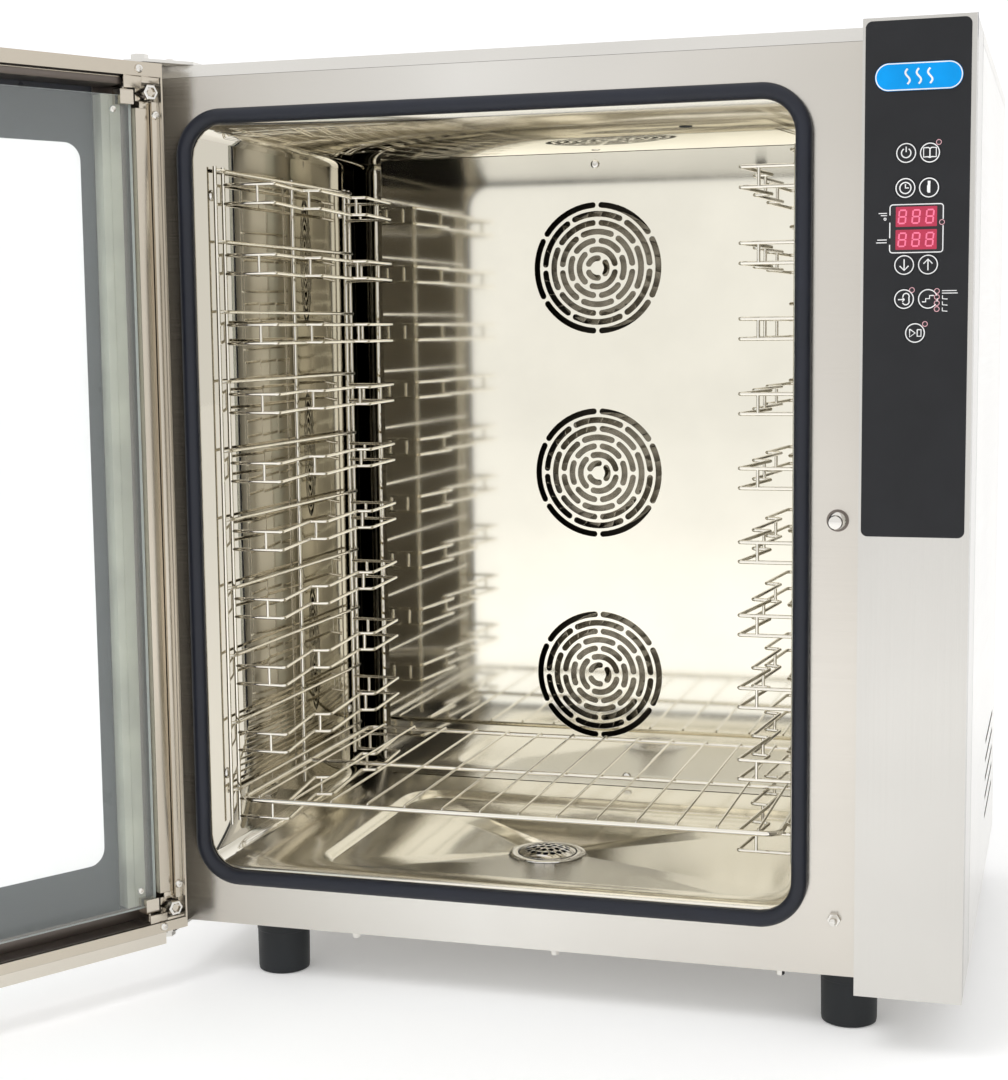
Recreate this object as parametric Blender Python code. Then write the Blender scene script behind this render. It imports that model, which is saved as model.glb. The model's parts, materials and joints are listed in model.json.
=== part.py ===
"""Combi steamer oven: a ten-level cabinet with a side-hung glass door, three fans and wire racks.

Metres, +Z up, +X to the right as one faces the oven, +Y into the cavity. The sizes below are
measured from the middle of the front panel's bottom line: X = 0 is the cabinet's middle, Y = 0
is the front panel's face and Z = 0 is the floor. An empty then shifts the whole oven, so that
the origin is the point where the front left foot meets the floor.
"""

import math

import bmesh
import bpy
from mathutils import Matrix, Vector

# ---------------------------------------------------------------- driving dimensions
GAP = 0.0003                 # clearance between touching pieces
SHEET = 0.002                # sheet steel of casing and cavity

BODY_HALF_WIDTH = 0.426
BODY_DEPTH = 0.626
BODY_BOTTOM = 0.060
BODY_TOP = 0.976
TOP_FLANGE = 0.012           # height of the top cover's turned-down edge

COLUMN_LEFT = 0.325          # control column, flush with the closed door
COLUMN_FRONT = -0.052
COLUMN_BACK = 0.060

CAVITY_LEFT = -0.378
CAVITY_RIGHT = 0.262
CAVITY_BOTTOM = 0.121
CAVITY_TOP = 0.915
CAVITY_BACK = 0.535
CAVITY_MIDDLE = (CAVITY_LEFT + CAVITY_RIGHT) / 2
BAFFLE_FRONT = 0.465
BAFFLE_HALF_WIDTH = 0.278
RECESS = (-0.280, 0.242, 0.045, 0.398)   # pressed well in the cavity floor: left, right, front, back
RECESS_DEPTH = 0.009

GASKET_RADIUS = 0.008
GASKET_BOX = (-0.3784, 0.2674, 0.1135, 0.9228)   # centre line: left, right, bottom, top
GASKET_CORNER = 0.041

FAN_HEIGHTS = (0.774, 0.520, 0.264)
FAN_X = -0.053
GRILLE_RADIUS = 0.081

LEVELS = 10
LEVEL_PITCH = 0.075
FIRST_RAIL = 0.1625          # centre of the lowest rail wire
RAIL_SPACING = 0.020         # lower to upper wire of one level
GUIDE_RISE = 0.014           # upper wire to the side guide
WIRE_RADIUS = 0.002
POST_U = 0.310               # posts, measured outwards from the cavity's middle
GUIDE_U = 0.3035

DRAIN = (-0.043, 0.178)      # strainer in the cavity floor
DRAIN_NOTCH = 0.019
DRAIN_PIPE_Z = 0.081
DRAIN_PIPE_RADIUS = 0.018
VENT = (0.150, 0.500)        # steam vent in the cavity roof

FOOT_RADIUS = 0.029
FOOT_X = 0.310
FOOT_Y = (0.046, 0.580)

HINGE = (-0.4145, -0.029)    # the door's vertical axis
DOOR_OPEN_DEG = -120.0
DOOR_LEFT = -0.424
DOOR_RIGHT = 0.323
DOOR_BOTTOM = 0.064
DOOR_TOP = 0.974
DOOR_OUTER = -0.051
DOOR_INNER = -0.003
GLASS_HINGE = (-0.388, -0.019)
PANE_FRONT = -0.0216         # inner pane, which the gasket touches when the door is shut
PANE_BACK = -0.0166

HANDLE_X = 0.303
HANDLE_Z = 0.563
STRIKER_X = 0.300
STRIKER_Z = 0.513

OVERLAY_BACK = COLUMN_FRONT - GAP
OVERLAY_FRONT = -0.0533
KEY_RADIUS = 0.0098
KEYS = {
    "power": (0.3650, 0.8546),
    "recipe": (0.3861, 0.8542),
    "clock": (0.3647, 0.8233),
    "probe": (0.3857, 0.8231),
    "down": (0.3644, 0.7540),
    "up": (0.3857, 0.7540),
    "steam": (0.3647, 0.7231),
    "phase": (0.3861, 0.7230),
    "start": (0.3749, 0.6922),
}
DISPLAY = (0.3512, 0.3986, 0.7652, 0.8086)       # left, right, bottom, top

PARTS = None
CUTTERS = None
OVEN = None


# ---------------------------------------------------------------- scene and materials
def clear_scene():
    for obj in list(bpy.data.objects):
        bpy.data.objects.remove(obj, do_unlink=True)


def new_collection(name):
    collection = bpy.data.collections.new(name)
    bpy.context.scene.collection.children.link(collection)
    return collection


def material(name, color, roughness, metallic=0.0, alpha=1.0):
    made = bpy.data.materials.get(name)
    if made is None:
        made = bpy.data.materials.new(name)
        made.use_nodes = True
        shader = made.node_tree.nodes["Principled BSDF"]
        shader.inputs["Base Color"].default_value = (*color, 1.0)
        shader.inputs["Roughness"].default_value = roughness
        shader.inputs["Metallic"].default_value = metallic
        shader.inputs["Alpha"].default_value = alpha
    return made


def steel():
    return material("brushed_steel", (0.72, 0.71, 0.69), 0.35, 1.0)


def mirror_steel():
    return material("mirror_steel", (0.80, 0.76, 0.68), 0.12, 1.0)


def wire_chrome():
    return material("wire_chrome", (0.78, 0.76, 0.72), 0.15, 1.0)


def black_plastic():
    return material("black_plastic", (0.035, 0.038, 0.040), 0.55)


def black_rubber():
    return material("black_rubber", (0.022, 0.025, 0.035), 0.60)


def clear_glass():
    return material("clear_glass", (0.80, 0.86, 0.84), 0.05, 0.0, 0.35)


# ---------------------------------------------------------------- building blocks
def keep(obj, surface, parent=None):
    """Files a finished piece under the oven, in the parts collection, with its material."""
    for collection in list(obj.users_collection):
        collection.objects.unlink(obj)
    PARTS.objects.link(obj)
    obj.data.materials.clear()
    obj.data.materials.append(surface)
    obj.parent = parent or OVEN
    return obj


def helper(obj, parent=None):
    """Files a cutter: drawn as a wire, never rendered."""
    for collection in list(obj.users_collection):
        collection.objects.unlink(obj)
    CUTTERS.objects.link(obj)
    obj.hide_render = True
    obj.display_type = "WIRE"
    obj.parent = parent or OVEN
    return obj


def mesh_object(name, bm):
    bmesh.ops.recalc_face_normals(bm, faces=bm.faces)
    mesh = bpy.data.meshes.new(name)
    bm.to_mesh(mesh)
    bm.free()
    obj = bpy.data.objects.new(name, mesh)
    bpy.context.scene.collection.objects.link(obj)
    return obj


def box(name, low, high):
    bm = bmesh.new()
    bmesh.ops.create_cube(bm, size=1.0)
    middle = (Vector(low) + Vector(high)) / 2
    size = Vector(high) - Vector(low)
    bmesh.ops.scale(bm, vec=size, verts=bm.verts)
    bmesh.ops.translate(bm, vec=middle, verts=bm.verts)
    return mesh_object(name, bm)


def along(axis):
    """The rotation that takes +Z to the named axis."""
    turns = {"X": ("Y", 90.0), "Y": ("X", -90.0), "Z": ("Z", 0.0)}
    about, angle = turns[axis]
    return Matrix.Rotation(math.radians(angle), 4, about)


def cylinder(name, centre, radius, length, axis="Z", sides=24):
    bm = bmesh.new()
    bmesh.ops.create_cone(bm, cap_ends=True, segments=sides, radius1=radius, radius2=radius, depth=length)
    bmesh.ops.transform(bm, matrix=Matrix.Translation(Vector(centre)) @ along(axis), verts=bm.verts)
    obj = mesh_object(name, bm)
    obj.data.shade_smooth()
    obj.data.set_sharp_from_angle(angle=math.radians(40))
    return obj


def turned(name, centre, profile, axis="Z", sides=24):
    """A closed profile of (radius, height) points spun about the axis through centre."""
    bm = bmesh.new()
    ring = [bm.verts.new((radius, 0.0, height)) for radius, height in profile]
    for first, second in zip(ring, ring[1:] + ring[:1]):
        bm.edges.new((first, second))
    bmesh.ops.spin(
        bm,
        geom=bm.verts[:] + bm.edges[:],
        cent=(0, 0, 0),
        axis=(0, 0, 1),
        angle=math.tau,
        steps=sides,
        use_merge=True,
    )
    bmesh.ops.remove_doubles(bm, verts=bm.verts, dist=1e-6)
    bmesh.ops.transform(bm, matrix=Matrix.Translation(Vector(centre)) @ along(axis), verts=bm.verts)
    obj = mesh_object(name, bm)
    obj.data.shade_smooth()
    obj.data.set_sharp_from_angle(angle=math.radians(40))
    return obj


def poly_curve(name, points, cyclic, dimensions="3D"):
    curve = bpy.data.curves.new(name, "CURVE")
    curve.dimensions = dimensions
    spline = curve.splines.new("POLY")
    spline.points.add(len(points) - 1)
    for place, point in zip(spline.points, points):
        place.co = (*point, 1.0)
    spline.use_cyclic_u = cyclic
    obj = bpy.data.objects.new(name, curve)
    bpy.context.scene.collection.objects.link(obj)
    return obj


def as_mesh(obj):
    """Makes a curve object a mesh with its caps welded, and removes the curve."""
    graph = bpy.context.evaluated_depsgraph_get()
    graph.update()
    mesh = bpy.data.meshes.new_from_object(obj.evaluated_get(graph))
    name = obj.name
    place = obj.matrix_world.copy()
    bpy.data.objects.remove(obj, do_unlink=True)
    bm = bmesh.new()
    bm.from_mesh(mesh)
    bpy.data.meshes.remove(mesh)
    bmesh.ops.remove_doubles(bm, verts=bm.verts, dist=1e-6)
    made = mesh_object(name, bm)
    made.matrix_world = place
    return made


def tube(name, points, radius, cyclic=False, sides=1):
    """A wire or pipe along points. sides 0, 1 or 2 gives 4, 6 or 8 flats round it."""
    obj = poly_curve(name, points, cyclic)
    obj.data.bevel_depth = radius
    obj.data.bevel_resolution = sides
    obj.data.use_fill_caps = not cyclic
    return as_mesh(obj)


def rounded_rectangle(left, right, bottom, top, corner, steps=5):
    points = []
    centres = [
        (right - corner, top - corner, 0),
        (left + corner, top - corner, 90),
        (left + corner, bottom + corner, 180),
        (right - corner, bottom + corner, 270),
    ]
    for x, z, start in centres:
        for step in range(steps + 1):
            angle = math.radians(start + 90 * step / steps)
            points.append((x + corner * math.cos(angle), z + corner * math.sin(angle)))
    return points


def upright_plate(name, outline, front, back):
    """A plate in the XZ plane between two depths, from a flat outline of (x, z) points."""
    obj = poly_curve(name, [(x, z, 0.0) for x, z in outline], True, "2D")
    obj.data.fill_mode = "BOTH"
    obj.data.extrude = (back - front) / 2
    plate = as_mesh(obj)
    stand_up = Matrix.Rotation(math.radians(90), 4, "X")
    plate.data.transform(Matrix.Translation((0, (front + back) / 2, 0)) @ stand_up)
    return plate


def flat_plate(name, outline, low, high):
    """A plate in the XY plane between two heights, from a flat outline of (x, y) points."""
    obj = poly_curve(name, [(x, y, 0.0) for x, y in outline], True, "2D")
    obj.data.fill_mode = "BOTH"
    obj.data.extrude = (high - low) / 2
    plate = as_mesh(obj)
    plate.data.transform(Matrix.Translation((0, 0, (low + high) / 2)))
    return plate


def combine(target, other, operation):
    modifier = target.modifiers.new(operation.lower(), "BOOLEAN")
    modifier.operation = operation
    modifier.solver = "EXACT"
    modifier.object = other
    return modifier


def cut(target, *others):
    for other in others:
        helper(other, target.parent)
        combine(target, other, "DIFFERENCE")


def fuse(target, *others):
    for other in others:
        helper(other, target.parent)
        combine(target, other, "UNION")


def fused_wires(name, wires):
    """One welded piece from wires that cross: they are joined, then united with themselves."""
    first, last = wires[0], wires[-1]
    bm = bmesh.new()
    for wire in wires[:-1]:
        bm.from_mesh(wire.data)
    obj = mesh_object(name, bm)
    for wire in wires[:-1]:
        bpy.data.objects.remove(wire, do_unlink=True)
    helper(last)
    modifier = combine(obj, last, "UNION")
    modifier.use_self = True
    return obj


# ---------------------------------------------------------------- casing
def make_base_tray():
    side = BODY_HALF_WIDTH - SHEET - GAP
    tray = box("base_tray", (-side, SHEET + GAP, BODY_BOTTOM), (side, BODY_DEPTH - SHEET - GAP, 0.075))
    keep(tray, steel())
    floor = BODY_BOTTOM + SHEET
    cut(tray, box("tray_inside", (-side + SHEET, 2 * SHEET, floor), (side - SHEET, 0.6215, 0.2)))
    cut(tray, box("tray_notch", (COLUMN_LEFT - GAP, -0.1, 0.0), (0.5, COLUMN_BACK + GAP, 0.2)))
    drain_notch = (DRAIN[0] - DRAIN_NOTCH, 0.61, floor), (DRAIN[0] + DRAIN_NOTCH, 0.65, 0.2)
    cut(tray, box("tray_drain_notch", *drain_notch))
    for index, (x, y) in enumerate(foot_places()):
        cut(tray, cylinder(f"tray_foot_hole_{index}", (x, y, BODY_BOTTOM), 0.0053, 0.05, sides=12))


def foot_places():
    return [(x, y) for y in FOOT_Y for x in (-FOOT_X, FOOT_X)]


def make_feet():
    """A moulded foot with a steel stud that passes through the base tray."""
    names = ("foot_front_left", "foot_front_right", "foot_back_left", "foot_back_right")
    top = BODY_BOTTOM - GAP
    profile = [
        (0.0, 0.0),
        (FOOT_RADIUS - 0.003, 0.0),
        (FOOT_RADIUS - 0.001, 0.003),
        (FOOT_RADIUS, top),
        (0.005, top),
        (0.005, top + 0.014),
        (0.0, top + 0.014),
    ]
    for name, (x, y) in zip(names, foot_places()):
        keep(turned(name, (x, y, 0.0), profile, sides=24), black_plastic())


def make_front_frame():
    right = COLUMN_LEFT - GAP
    top = BODY_TOP - TOP_FLANGE - GAP
    frame = box("front_frame", (-BODY_HALF_WIDTH, 0.0, BODY_BOTTOM), (right, SHEET, top))
    keep(frame, steel())
    opening = rounded_rectangle(CAVITY_LEFT + 0.006, CAVITY_RIGHT - 0.001, 0.121, 0.915, 0.036)
    cut(frame, upright_plate("front_opening", opening, -0.01, 0.01))


def make_top_cover():
    low = BODY_TOP - TOP_FLANGE
    side = BODY_HALF_WIDTH
    cover = box("top_cover", (-side, 0.0, low), (side, BODY_DEPTH, BODY_TOP))
    keep(cover, steel())
    inside_low = (-side + SHEET, SHEET, low - 0.01)
    inside_high = (side - SHEET, BODY_DEPTH - SHEET, BODY_TOP - SHEET)
    cut(cover, box("cover_inside", inside_low, inside_high))
    cut(cover, box("cover_notch", (COLUMN_LEFT - GAP, -0.1, 0.9), (0.5, COLUMN_BACK + GAP, 1.1)))
    cut(cover, cylinder("cover_vent_hole", (*VENT, BODY_TOP), 0.0213, 0.05))


def make_side_panels():
    low = BODY_BOTTOM
    high = BODY_TOP - TOP_FLANGE - GAP
    back = BODY_DEPTH - SHEET - GAP
    outer = BODY_HALF_WIDTH
    inner = BODY_HALF_WIDTH - SHEET
    left = box("left_side_panel", (-outer, SHEET + GAP, low), (-inner, back, high))
    keep(left, steel())
    right = box("right_side_panel", (inner, COLUMN_BACK + GAP, low), (outer, back, high))
    keep(right, steel())
    for panel, x in ((left, -outer), (right, outer)):
        for row in range(5):
            z = 0.130 + 0.022 * row
            cut(panel, box(f"{panel.name}_louvre_{row}", (x - 0.01, 0.380, z), (x + 0.01, 0.560, z + 0.006)))


def make_back_panel():
    high = BODY_TOP - TOP_FLANGE - GAP
    side = BODY_HALF_WIDTH
    back = box("back_panel", (-side, BODY_DEPTH - SHEET, BODY_BOTTOM), (side, BODY_DEPTH, high))
    keep(back, steel())
    for row in range(6):
        z = 0.820 + 0.018 * row
        cut(back, box(f"back_louvre_{row}", (-0.330, 0.60, z), (0.220, 0.65, z + 0.006)))
    cut(back, cylinder("back_valve_hole", (0.330, BODY_DEPTH, 0.160), 0.0140, 0.05, "Y", 16))
    cut(back, cylinder("back_gland_hole", (0.330, BODY_DEPTH, 0.260), 0.0123, 0.05, "Y", 16))
    place = (DRAIN[0], BODY_DEPTH, DRAIN_PIPE_Z)
    cut(back, cylinder("back_drain_hole", place, DRAIN_PIPE_RADIUS + GAP, 0.05, "Y", 20))


# ---------------------------------------------------------------- cavity
def well(name, margin, low, high):
    """The block of the floor's pressed well, grown sideways by a margin."""
    left, right, front, back = RECESS
    return box(name, (left - margin, front - margin, low), (right + margin, back + margin, high))


def make_cavity_liner():
    low = (CAVITY_LEFT - SHEET, SHEET + GAP, CAVITY_BOTTOM - SHEET)
    high = (CAVITY_RIGHT + SHEET, CAVITY_BACK + SHEET, CAVITY_TOP + SHEET)
    liner = box("cavity_liner", low, high)
    keep(liner, mirror_steel())
    fuse(liner, well("liner_well", SHEET, CAVITY_BOTTOM - RECESS_DEPTH - SHEET, CAVITY_BOTTOM - SHEET / 2))
    inside_low = (CAVITY_LEFT, -0.01, CAVITY_BOTTOM)
    cut(liner, box("liner_inside", inside_low, (CAVITY_RIGHT, CAVITY_BACK, CAVITY_TOP)))
    cut(liner, well("liner_well_inside", 0.0, CAVITY_BOTTOM - RECESS_DEPTH, CAVITY_BOTTOM + 0.01))
    cut(liner, cylinder("liner_drain_hole", (*DRAIN, CAVITY_BOTTOM), 0.026, 0.05, sides=16))
    cut(liner, cylinder("liner_vent_hole", (*VENT, CAVITY_TOP), 0.0213, 0.05))
    for index, z in enumerate(FAN_HEIGHTS):
        cut(liner, cylinder(f"liner_shaft_hole_{index}", (FAN_X, CAVITY_BACK, z), 0.009, 0.05, "Y", 16))


def make_insulation():
    """Mineral wool round the liner, open at the front and bored for the motors."""
    wool = material("mineral_wool", (0.62, 0.56, 0.38), 0.95)
    blanket = box("insulation_blanket", (-0.420, 0.006, 0.100), (0.300, 0.5600, 0.955))
    keep(blanket, wool)
    low = (CAVITY_LEFT - SHEET - GAP, -0.01, CAVITY_BOTTOM - SHEET - GAP)
    high = (CAVITY_RIGHT + SHEET + GAP, CAVITY_BACK + SHEET + GAP, CAVITY_TOP + SHEET + GAP)
    cut(blanket, box("blanket_inside", low, high))
    well_low = CAVITY_BOTTOM - RECESS_DEPTH - SHEET - GAP
    cut(blanket, well("blanket_well", SHEET + GAP, well_low, CAVITY_BOTTOM))
    for index, z in enumerate(FAN_HEIGHTS):
        cut(blanket, cylinder(f"blanket_motor_hole_{index}", (FAN_X, 0.55, z), 0.056, 0.05, "Y", 16))
    cut(blanket, cylinder("blanket_drain_hole", (*DRAIN, 0.11), 0.026, 0.08, sides=16))
    cut(blanket, cylinder("blanket_vent_hole", (*VENT, 0.94), 0.0216, 0.08))


def make_door_gasket():
    outline = rounded_rectangle(*GASKET_BOX, GASKET_CORNER, steps=6)
    points = [(x, -GASKET_RADIUS - GAP, z) for x, z in outline]
    keep(tube("door_gasket", points, GASKET_RADIUS, cyclic=True, sides=1), black_rubber())


def arc_slot(name, centre, inner, outer, start, end, steps=4):
    """A cutter in the shape of a ring sector, from angle start to end in degrees."""
    points = []
    for radius, angles in ((outer, (start, end)), (inner, (end, start))):
        for step in range(steps + 1):
            angle = math.radians(angles[0] + (angles[1] - angles[0]) * step / steps)
            points.append((centre[0] + radius * math.cos(angle), centre[1] + radius * math.sin(angle)))
    return upright_plate(name, points, BAFFLE_FRONT - 0.01, BAFFLE_FRONT + 0.01)


def make_fan_baffle():
    """The cover between cavity and fans, with a slotted suction grille in front of each fan."""
    low = (CAVITY_MIDDLE - BAFFLE_HALF_WIDTH, BAFFLE_FRONT, CAVITY_BOTTOM + GAP)
    high = (CAVITY_MIDDLE + BAFFLE_HALF_WIDTH, BAFFLE_FRONT + 0.0015, CAVITY_TOP - GAP)
    baffle = box("fan_baffle", low, high)
    keep(baffle, mirror_steel())
    rings = ((0.048, GRILLE_RADIUS, 8), (0.020, 0.044, 12))
    for fan, z in enumerate(FAN_HEIGHTS):
        for ring, (inner, outer, rib) in enumerate(rings):
            for quarter in range(4):
                start = 90 * quarter + rib / 2 + 45 * ring
                name = f"grille_{fan}_{ring}_{quarter}"
                cut(baffle, arc_slot(name, (FAN_X, z), inner, outer, start, start + 90 - rib))


def make_fan_wheels():
    """A radial wheel on its shaft: hub, back plate and straight blades, made as one piece."""
    blades = 8
    for index, z in enumerate(FAN_HEIGHTS):
        pivot = bpy.data.objects.new(f"fan_axis_{index + 1}", None)
        PARTS.objects.link(pivot)
        pivot.parent = OVEN
        pivot.location = (FAN_X, 0.500, z)
        profile = [
            (0.0, -0.022),
            (0.012, -0.022),
            (0.014, 0.016),
            (0.074, 0.016),
            (0.074, 0.0185),
            (0.012, 0.0185),
            (0.006, 0.026),
            (0.006, 0.080),
            (0.0, 0.080),
        ]
        wheel = turned(f"fan_wheel_{index + 1}", (0, 0, 0), profile, "Y", 20)
        keep(wheel, steel(), pivot)
        for blade in range(blades):
            vane = box(f"vane_{index}_{blade}", (0.0405, -0.022, -0.0009), (0.0735, 0.0162, 0.0009))
            vane.data.transform(Matrix.Rotation(math.tau * blade / blades, 4, "Y"))
            fuse(wheel, vane)


def make_fan_motors():
    dark = material("motor_grey", (0.30, 0.31, 0.33), 0.5, 0.6)
    profile = [
        (0.0068, 0.0),
        (0.050, 0.0),
        (0.050, 0.060),
        (0.044, 0.068),
        (0.0068, 0.068),
    ]
    for index, z in enumerate(FAN_HEIGHTS):
        keep(turned(f"fan_motor_{index + 1}", (FAN_X, 0.5480, z), profile, "Y", 20), dark)


def make_heater_rings():
    """A ring-shaped tubular heater round each fan wheel, open at the bottom where its ends go back."""
    element = material("heater_sheath", (0.16, 0.14, 0.12), 0.45, 0.9)
    radius = 0.100
    steps = 18
    for index, z in enumerate(FAN_HEIGHTS):
        points = [(FAN_X - 0.017, 0.5335, z - radius), (FAN_X - 0.017, 0.503, z - radius + 0.0015)]
        for step in range(1, steps):
            angle = math.radians(260 - 340 * step / steps)
            x = FAN_X + radius * math.cos(angle)
            points.append((x, 0.498, z + radius * math.sin(angle)))
        points += [(FAN_X + 0.017, 0.503, z - radius + 0.0015), (FAN_X + 0.017, 0.5335, z - radius)]
        keep(tube(f"heater_ring_{index + 1}", points, 0.0035, sides=0), element)


def make_water_manifold():
    """The pipe that sprays water on to the fan wheels, with one branch to each."""
    x = FAN_X + 0.125
    pipe = tube("water_manifold", [(x, 0.524, 0.230), (x, 0.524, 0.880)], 0.004)
    keep(pipe, mirror_steel())
    for index, z in enumerate(FAN_HEIGHTS):
        branch = [(x, 0.524, z), (x - 0.020, 0.4865, z), (FAN_X + 0.079, 0.4865, z)]
        fuse(pipe, tube(f"manifold_branch_{index}", branch, 0.003))


def make_drain():
    """The perforated strainer in the cavity floor and the pipe below it, which turns to the back."""
    x, y = DRAIN
    floor = CAVITY_BOTTOM - RECESS_DEPTH
    profile = [
        (0.0, floor + 0.011),
        (0.0, floor + 0.0095),
        (0.016, floor + 0.0085),
        (0.0225, floor + 0.0015),
        (0.0225, floor - 0.004),
        (0.0240, floor - 0.004),
        (0.0250, floor + GAP),
        (0.044, floor + GAP),
        (0.043, floor + 0.0025),
        (0.0255, floor + 0.0035),
        (0.017, floor + 0.0105),
    ]
    strainer = turned("drain_strainer", (x, y, 0.0), profile[::-1], sides=18)
    keep(strainer, mirror_steel())
    for ring, (radius, count) in enumerate(((0.0, 1), (0.0095, 6))):
        for hole in range(count):
            angle = math.tau * hole / count
            place = (x + radius * math.cos(angle), y + radius * math.sin(angle), floor + 0.01)
            cut(strainer, cylinder(f"strainer_hole_{ring}_{hole}", place, 0.0028, 0.01, sides=6))
    z = DRAIN_PIPE_Z
    bend = [(x, y, z + 0.012), (x, y + 0.004, z + 0.003), (x, y + 0.014, z)]
    route = [(x, y, floor - 0.0045), *bend, (x, 0.665, z)]
    pipe = tube("drain_pipe", route, DRAIN_PIPE_RADIUS, sides=3)
    keep(pipe, black_plastic())
    bore = [(x, y, 0.130), *bend, (x, 0.700, z)]
    cut(pipe, tube("drain_bore", bore, DRAIN_PIPE_RADIUS - 0.0025, sides=3))


def make_steam_vent():
    low = CAVITY_TOP - 0.006
    profile = [(0.0185, low), (0.0205, low), (0.0205, 0.9920), (0.0185, 0.9920)]
    keep(turned("steam_vent", (*VENT, 0.0), profile, sides=24), steel())


def make_services():
    """The water inlet valve and the cable gland on the back, at the electronics side."""
    valve = turned(
        "water_inlet_valve",
        (0.330, 0.0, 0.160),
        [
            (0.0, 0.560),
            (0.022, 0.560),
            (0.022, 0.612),
            (0.0125, 0.612),
            (0.0125, 0.640),
            (0.013, 0.648),
            (0.009, 0.648),
            (0.009, 0.620),
            (0.0, 0.620),
        ],
        "Y",
        16,
    )
    keep(valve, material("valve_brass", (0.70, 0.56, 0.28), 0.35, 1.0))
    gland = turned(
        "cable_gland",
        (0.330, 0.0, 0.260),
        [
            (0.006, 0.606),
            (0.012, 0.606),
            (0.012, BODY_DEPTH + GAP),
            (0.017, BODY_DEPTH + GAP),
            (0.017, 0.634),
            (0.013, 0.648),
            (0.006, 0.648),
        ],
        "Y",
        16,
    )
    keep(gland, black_plastic())


# ---------------------------------------------------------------- racks and shelf
def rack_point(side, u, y, z):
    return (CAVITY_MIDDLE + side * u, y, z)


def rack_rail(side, z):
    """One rail seen from above: from the front post inwards, back in three slanting runs, out again."""
    route = [
        (POST_U, 0.064),
        (0.253, 0.064),
        (0.265, 0.177),
        (0.246, 0.181),
        (0.257, 0.306),
        (0.240, 0.310),
        (0.248, 0.416),
        (POST_U, 0.418),
    ]
    return [rack_point(side, u, y, z) for u, y in route]


def make_rack(name, side):
    bottom = FIRST_RAIL - 0.0045
    top = FIRST_RAIL + LEVEL_PITCH * (LEVELS - 1) + 0.0385
    wires = []
    for level in range(LEVELS):
        low = FIRST_RAIL + LEVEL_PITCH * level
        high = low + RAIL_SPACING
        guide = [(POST_U, 0.044), (GUIDE_U, 0.052), (GUIDE_U, 0.425), (POST_U, 0.433)]
        guide = [rack_point(side, u, y, high + GUIDE_RISE) for u, y in guide]
        wires.append(tube(f"{name}_guide_{level}", guide, WIRE_RADIUS, sides=0))
        for z in (low, high):
            wires.append(tube(f"{name}_rail", rack_rail(side, z), WIRE_RADIUS, sides=0))
    for y in (0.044, 0.064, 0.251, 0.418, 0.433):
        ends = [rack_point(side, POST_U, y, bottom), rack_point(side, POST_U, y, top)]
        wires.append(tube(f"{name}_post", ends, WIRE_RADIUS + 0.0003, sides=0))
    bar_u = POST_U + 0.0008
    cap = [rack_point(side, bar_u, y, top - 0.004) for y in (0.041, 0.436)]
    wires.append(tube(f"{name}_top_bar", cap, WIRE_RADIUS, sides=0))
    keep(fused_wires(name, wires), wire_chrome())


def make_wire_shelf():
    """A 600 x 400 mm grid that slides on the upper wires of the lowest level."""
    half_width = 0.300
    front, back = 0.038, 0.438
    rod = 0.003
    z = FIRST_RAIL + RAIL_SPACING + WIRE_RADIUS + GAP + rod
    left = CAVITY_MIDDLE - half_width + rod
    right = CAVITY_MIDDLE + half_width - rod
    outline = rounded_rectangle(left, right, front + rod, back - rod, 0.016, steps=3)
    wires = [tube("shelf_frame", [(x, y, z) for x, y in outline], rod, cyclic=True, sides=0)]
    count = 14
    for index in range(count):
        x = left + (right - left) * (index + 0.5) / count
        ends = [(x, front + 0.0015, z + 0.0032), (x, back - 0.0015, z + 0.0032)]
        wires.append(tube("shelf_wire", ends, 0.0015, sides=0))
    middle = (front + back) / 2
    wires.append(tube("shelf_cross_rod", [(left, middle, z), (right, middle, z)], 0.0025, sides=0))
    keep(fused_wires("wire_shelf", wires), wire_chrome())


# ---------------------------------------------------------------- control column
def make_control_column():
    side = BODY_HALF_WIDTH
    column = box("control_column", (COLUMN_LEFT, COLUMN_FRONT, BODY_BOTTOM), (side, COLUMN_BACK, BODY_TOP))
    keep(column, steel())
    inside_low = (COLUMN_LEFT + SHEET, COLUMN_FRONT + SHEET, BODY_BOTTOM + SHEET)
    cut(column, box("column_inside", inside_low, (side - SHEET, 0.1, BODY_TOP - SHEET)))
    cut(column, box("column_key_opening", (0.338, -0.06, 0.676), (0.412, -0.04, 0.876)))


def make_control_overlay():
    outline = rounded_rectangle(0.3276, 0.4216, 0.5040, 0.9730, 0.006, steps=3)
    overlay = upright_plate("control_overlay", outline, OVERLAY_FRONT, OVERLAY_BACK)
    keep(overlay, material("overlay_charcoal", (0.030, 0.032, 0.036), 0.42))
    for name, (x, z) in KEYS.items():
        hole = cylinder(f"key_hole_{name}", (x, OVERLAY_BACK, z), KEY_RADIUS + GAP, 0.02, "Y", 16)
        cut(overlay, hole)
    left, right, bottom, top = DISPLAY
    cut(overlay, box("display_hole", (left, -0.07, bottom), (right, -0.05, top)))


def make_display():
    left, right, bottom, top = DISPLAY
    window = box("display_window", (left + GAP, -0.0535, bottom + GAP), (right - GAP, -0.0513, top - GAP))
    keep(window, material("display_red", (0.55, 0.05, 0.09), 0.25))
    board = box("control_board", (0.340, -0.0445, 0.680), (0.410, -0.0429, 0.872))
    keep(board, material("circuit_green", (0.02, 0.16, 0.07), 0.5))


def make_keys():
    for name, (x, z) in KEYS.items():
        key = cylinder(f"key_{name}", (0, 0, 0), KEY_RADIUS, 0.0012, "Y", 16)
        keep(key, material("overlay_charcoal", (0.030, 0.032, 0.036), 0.42))
        key.location = (x, OVERLAY_FRONT + 0.0004, z)


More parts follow.
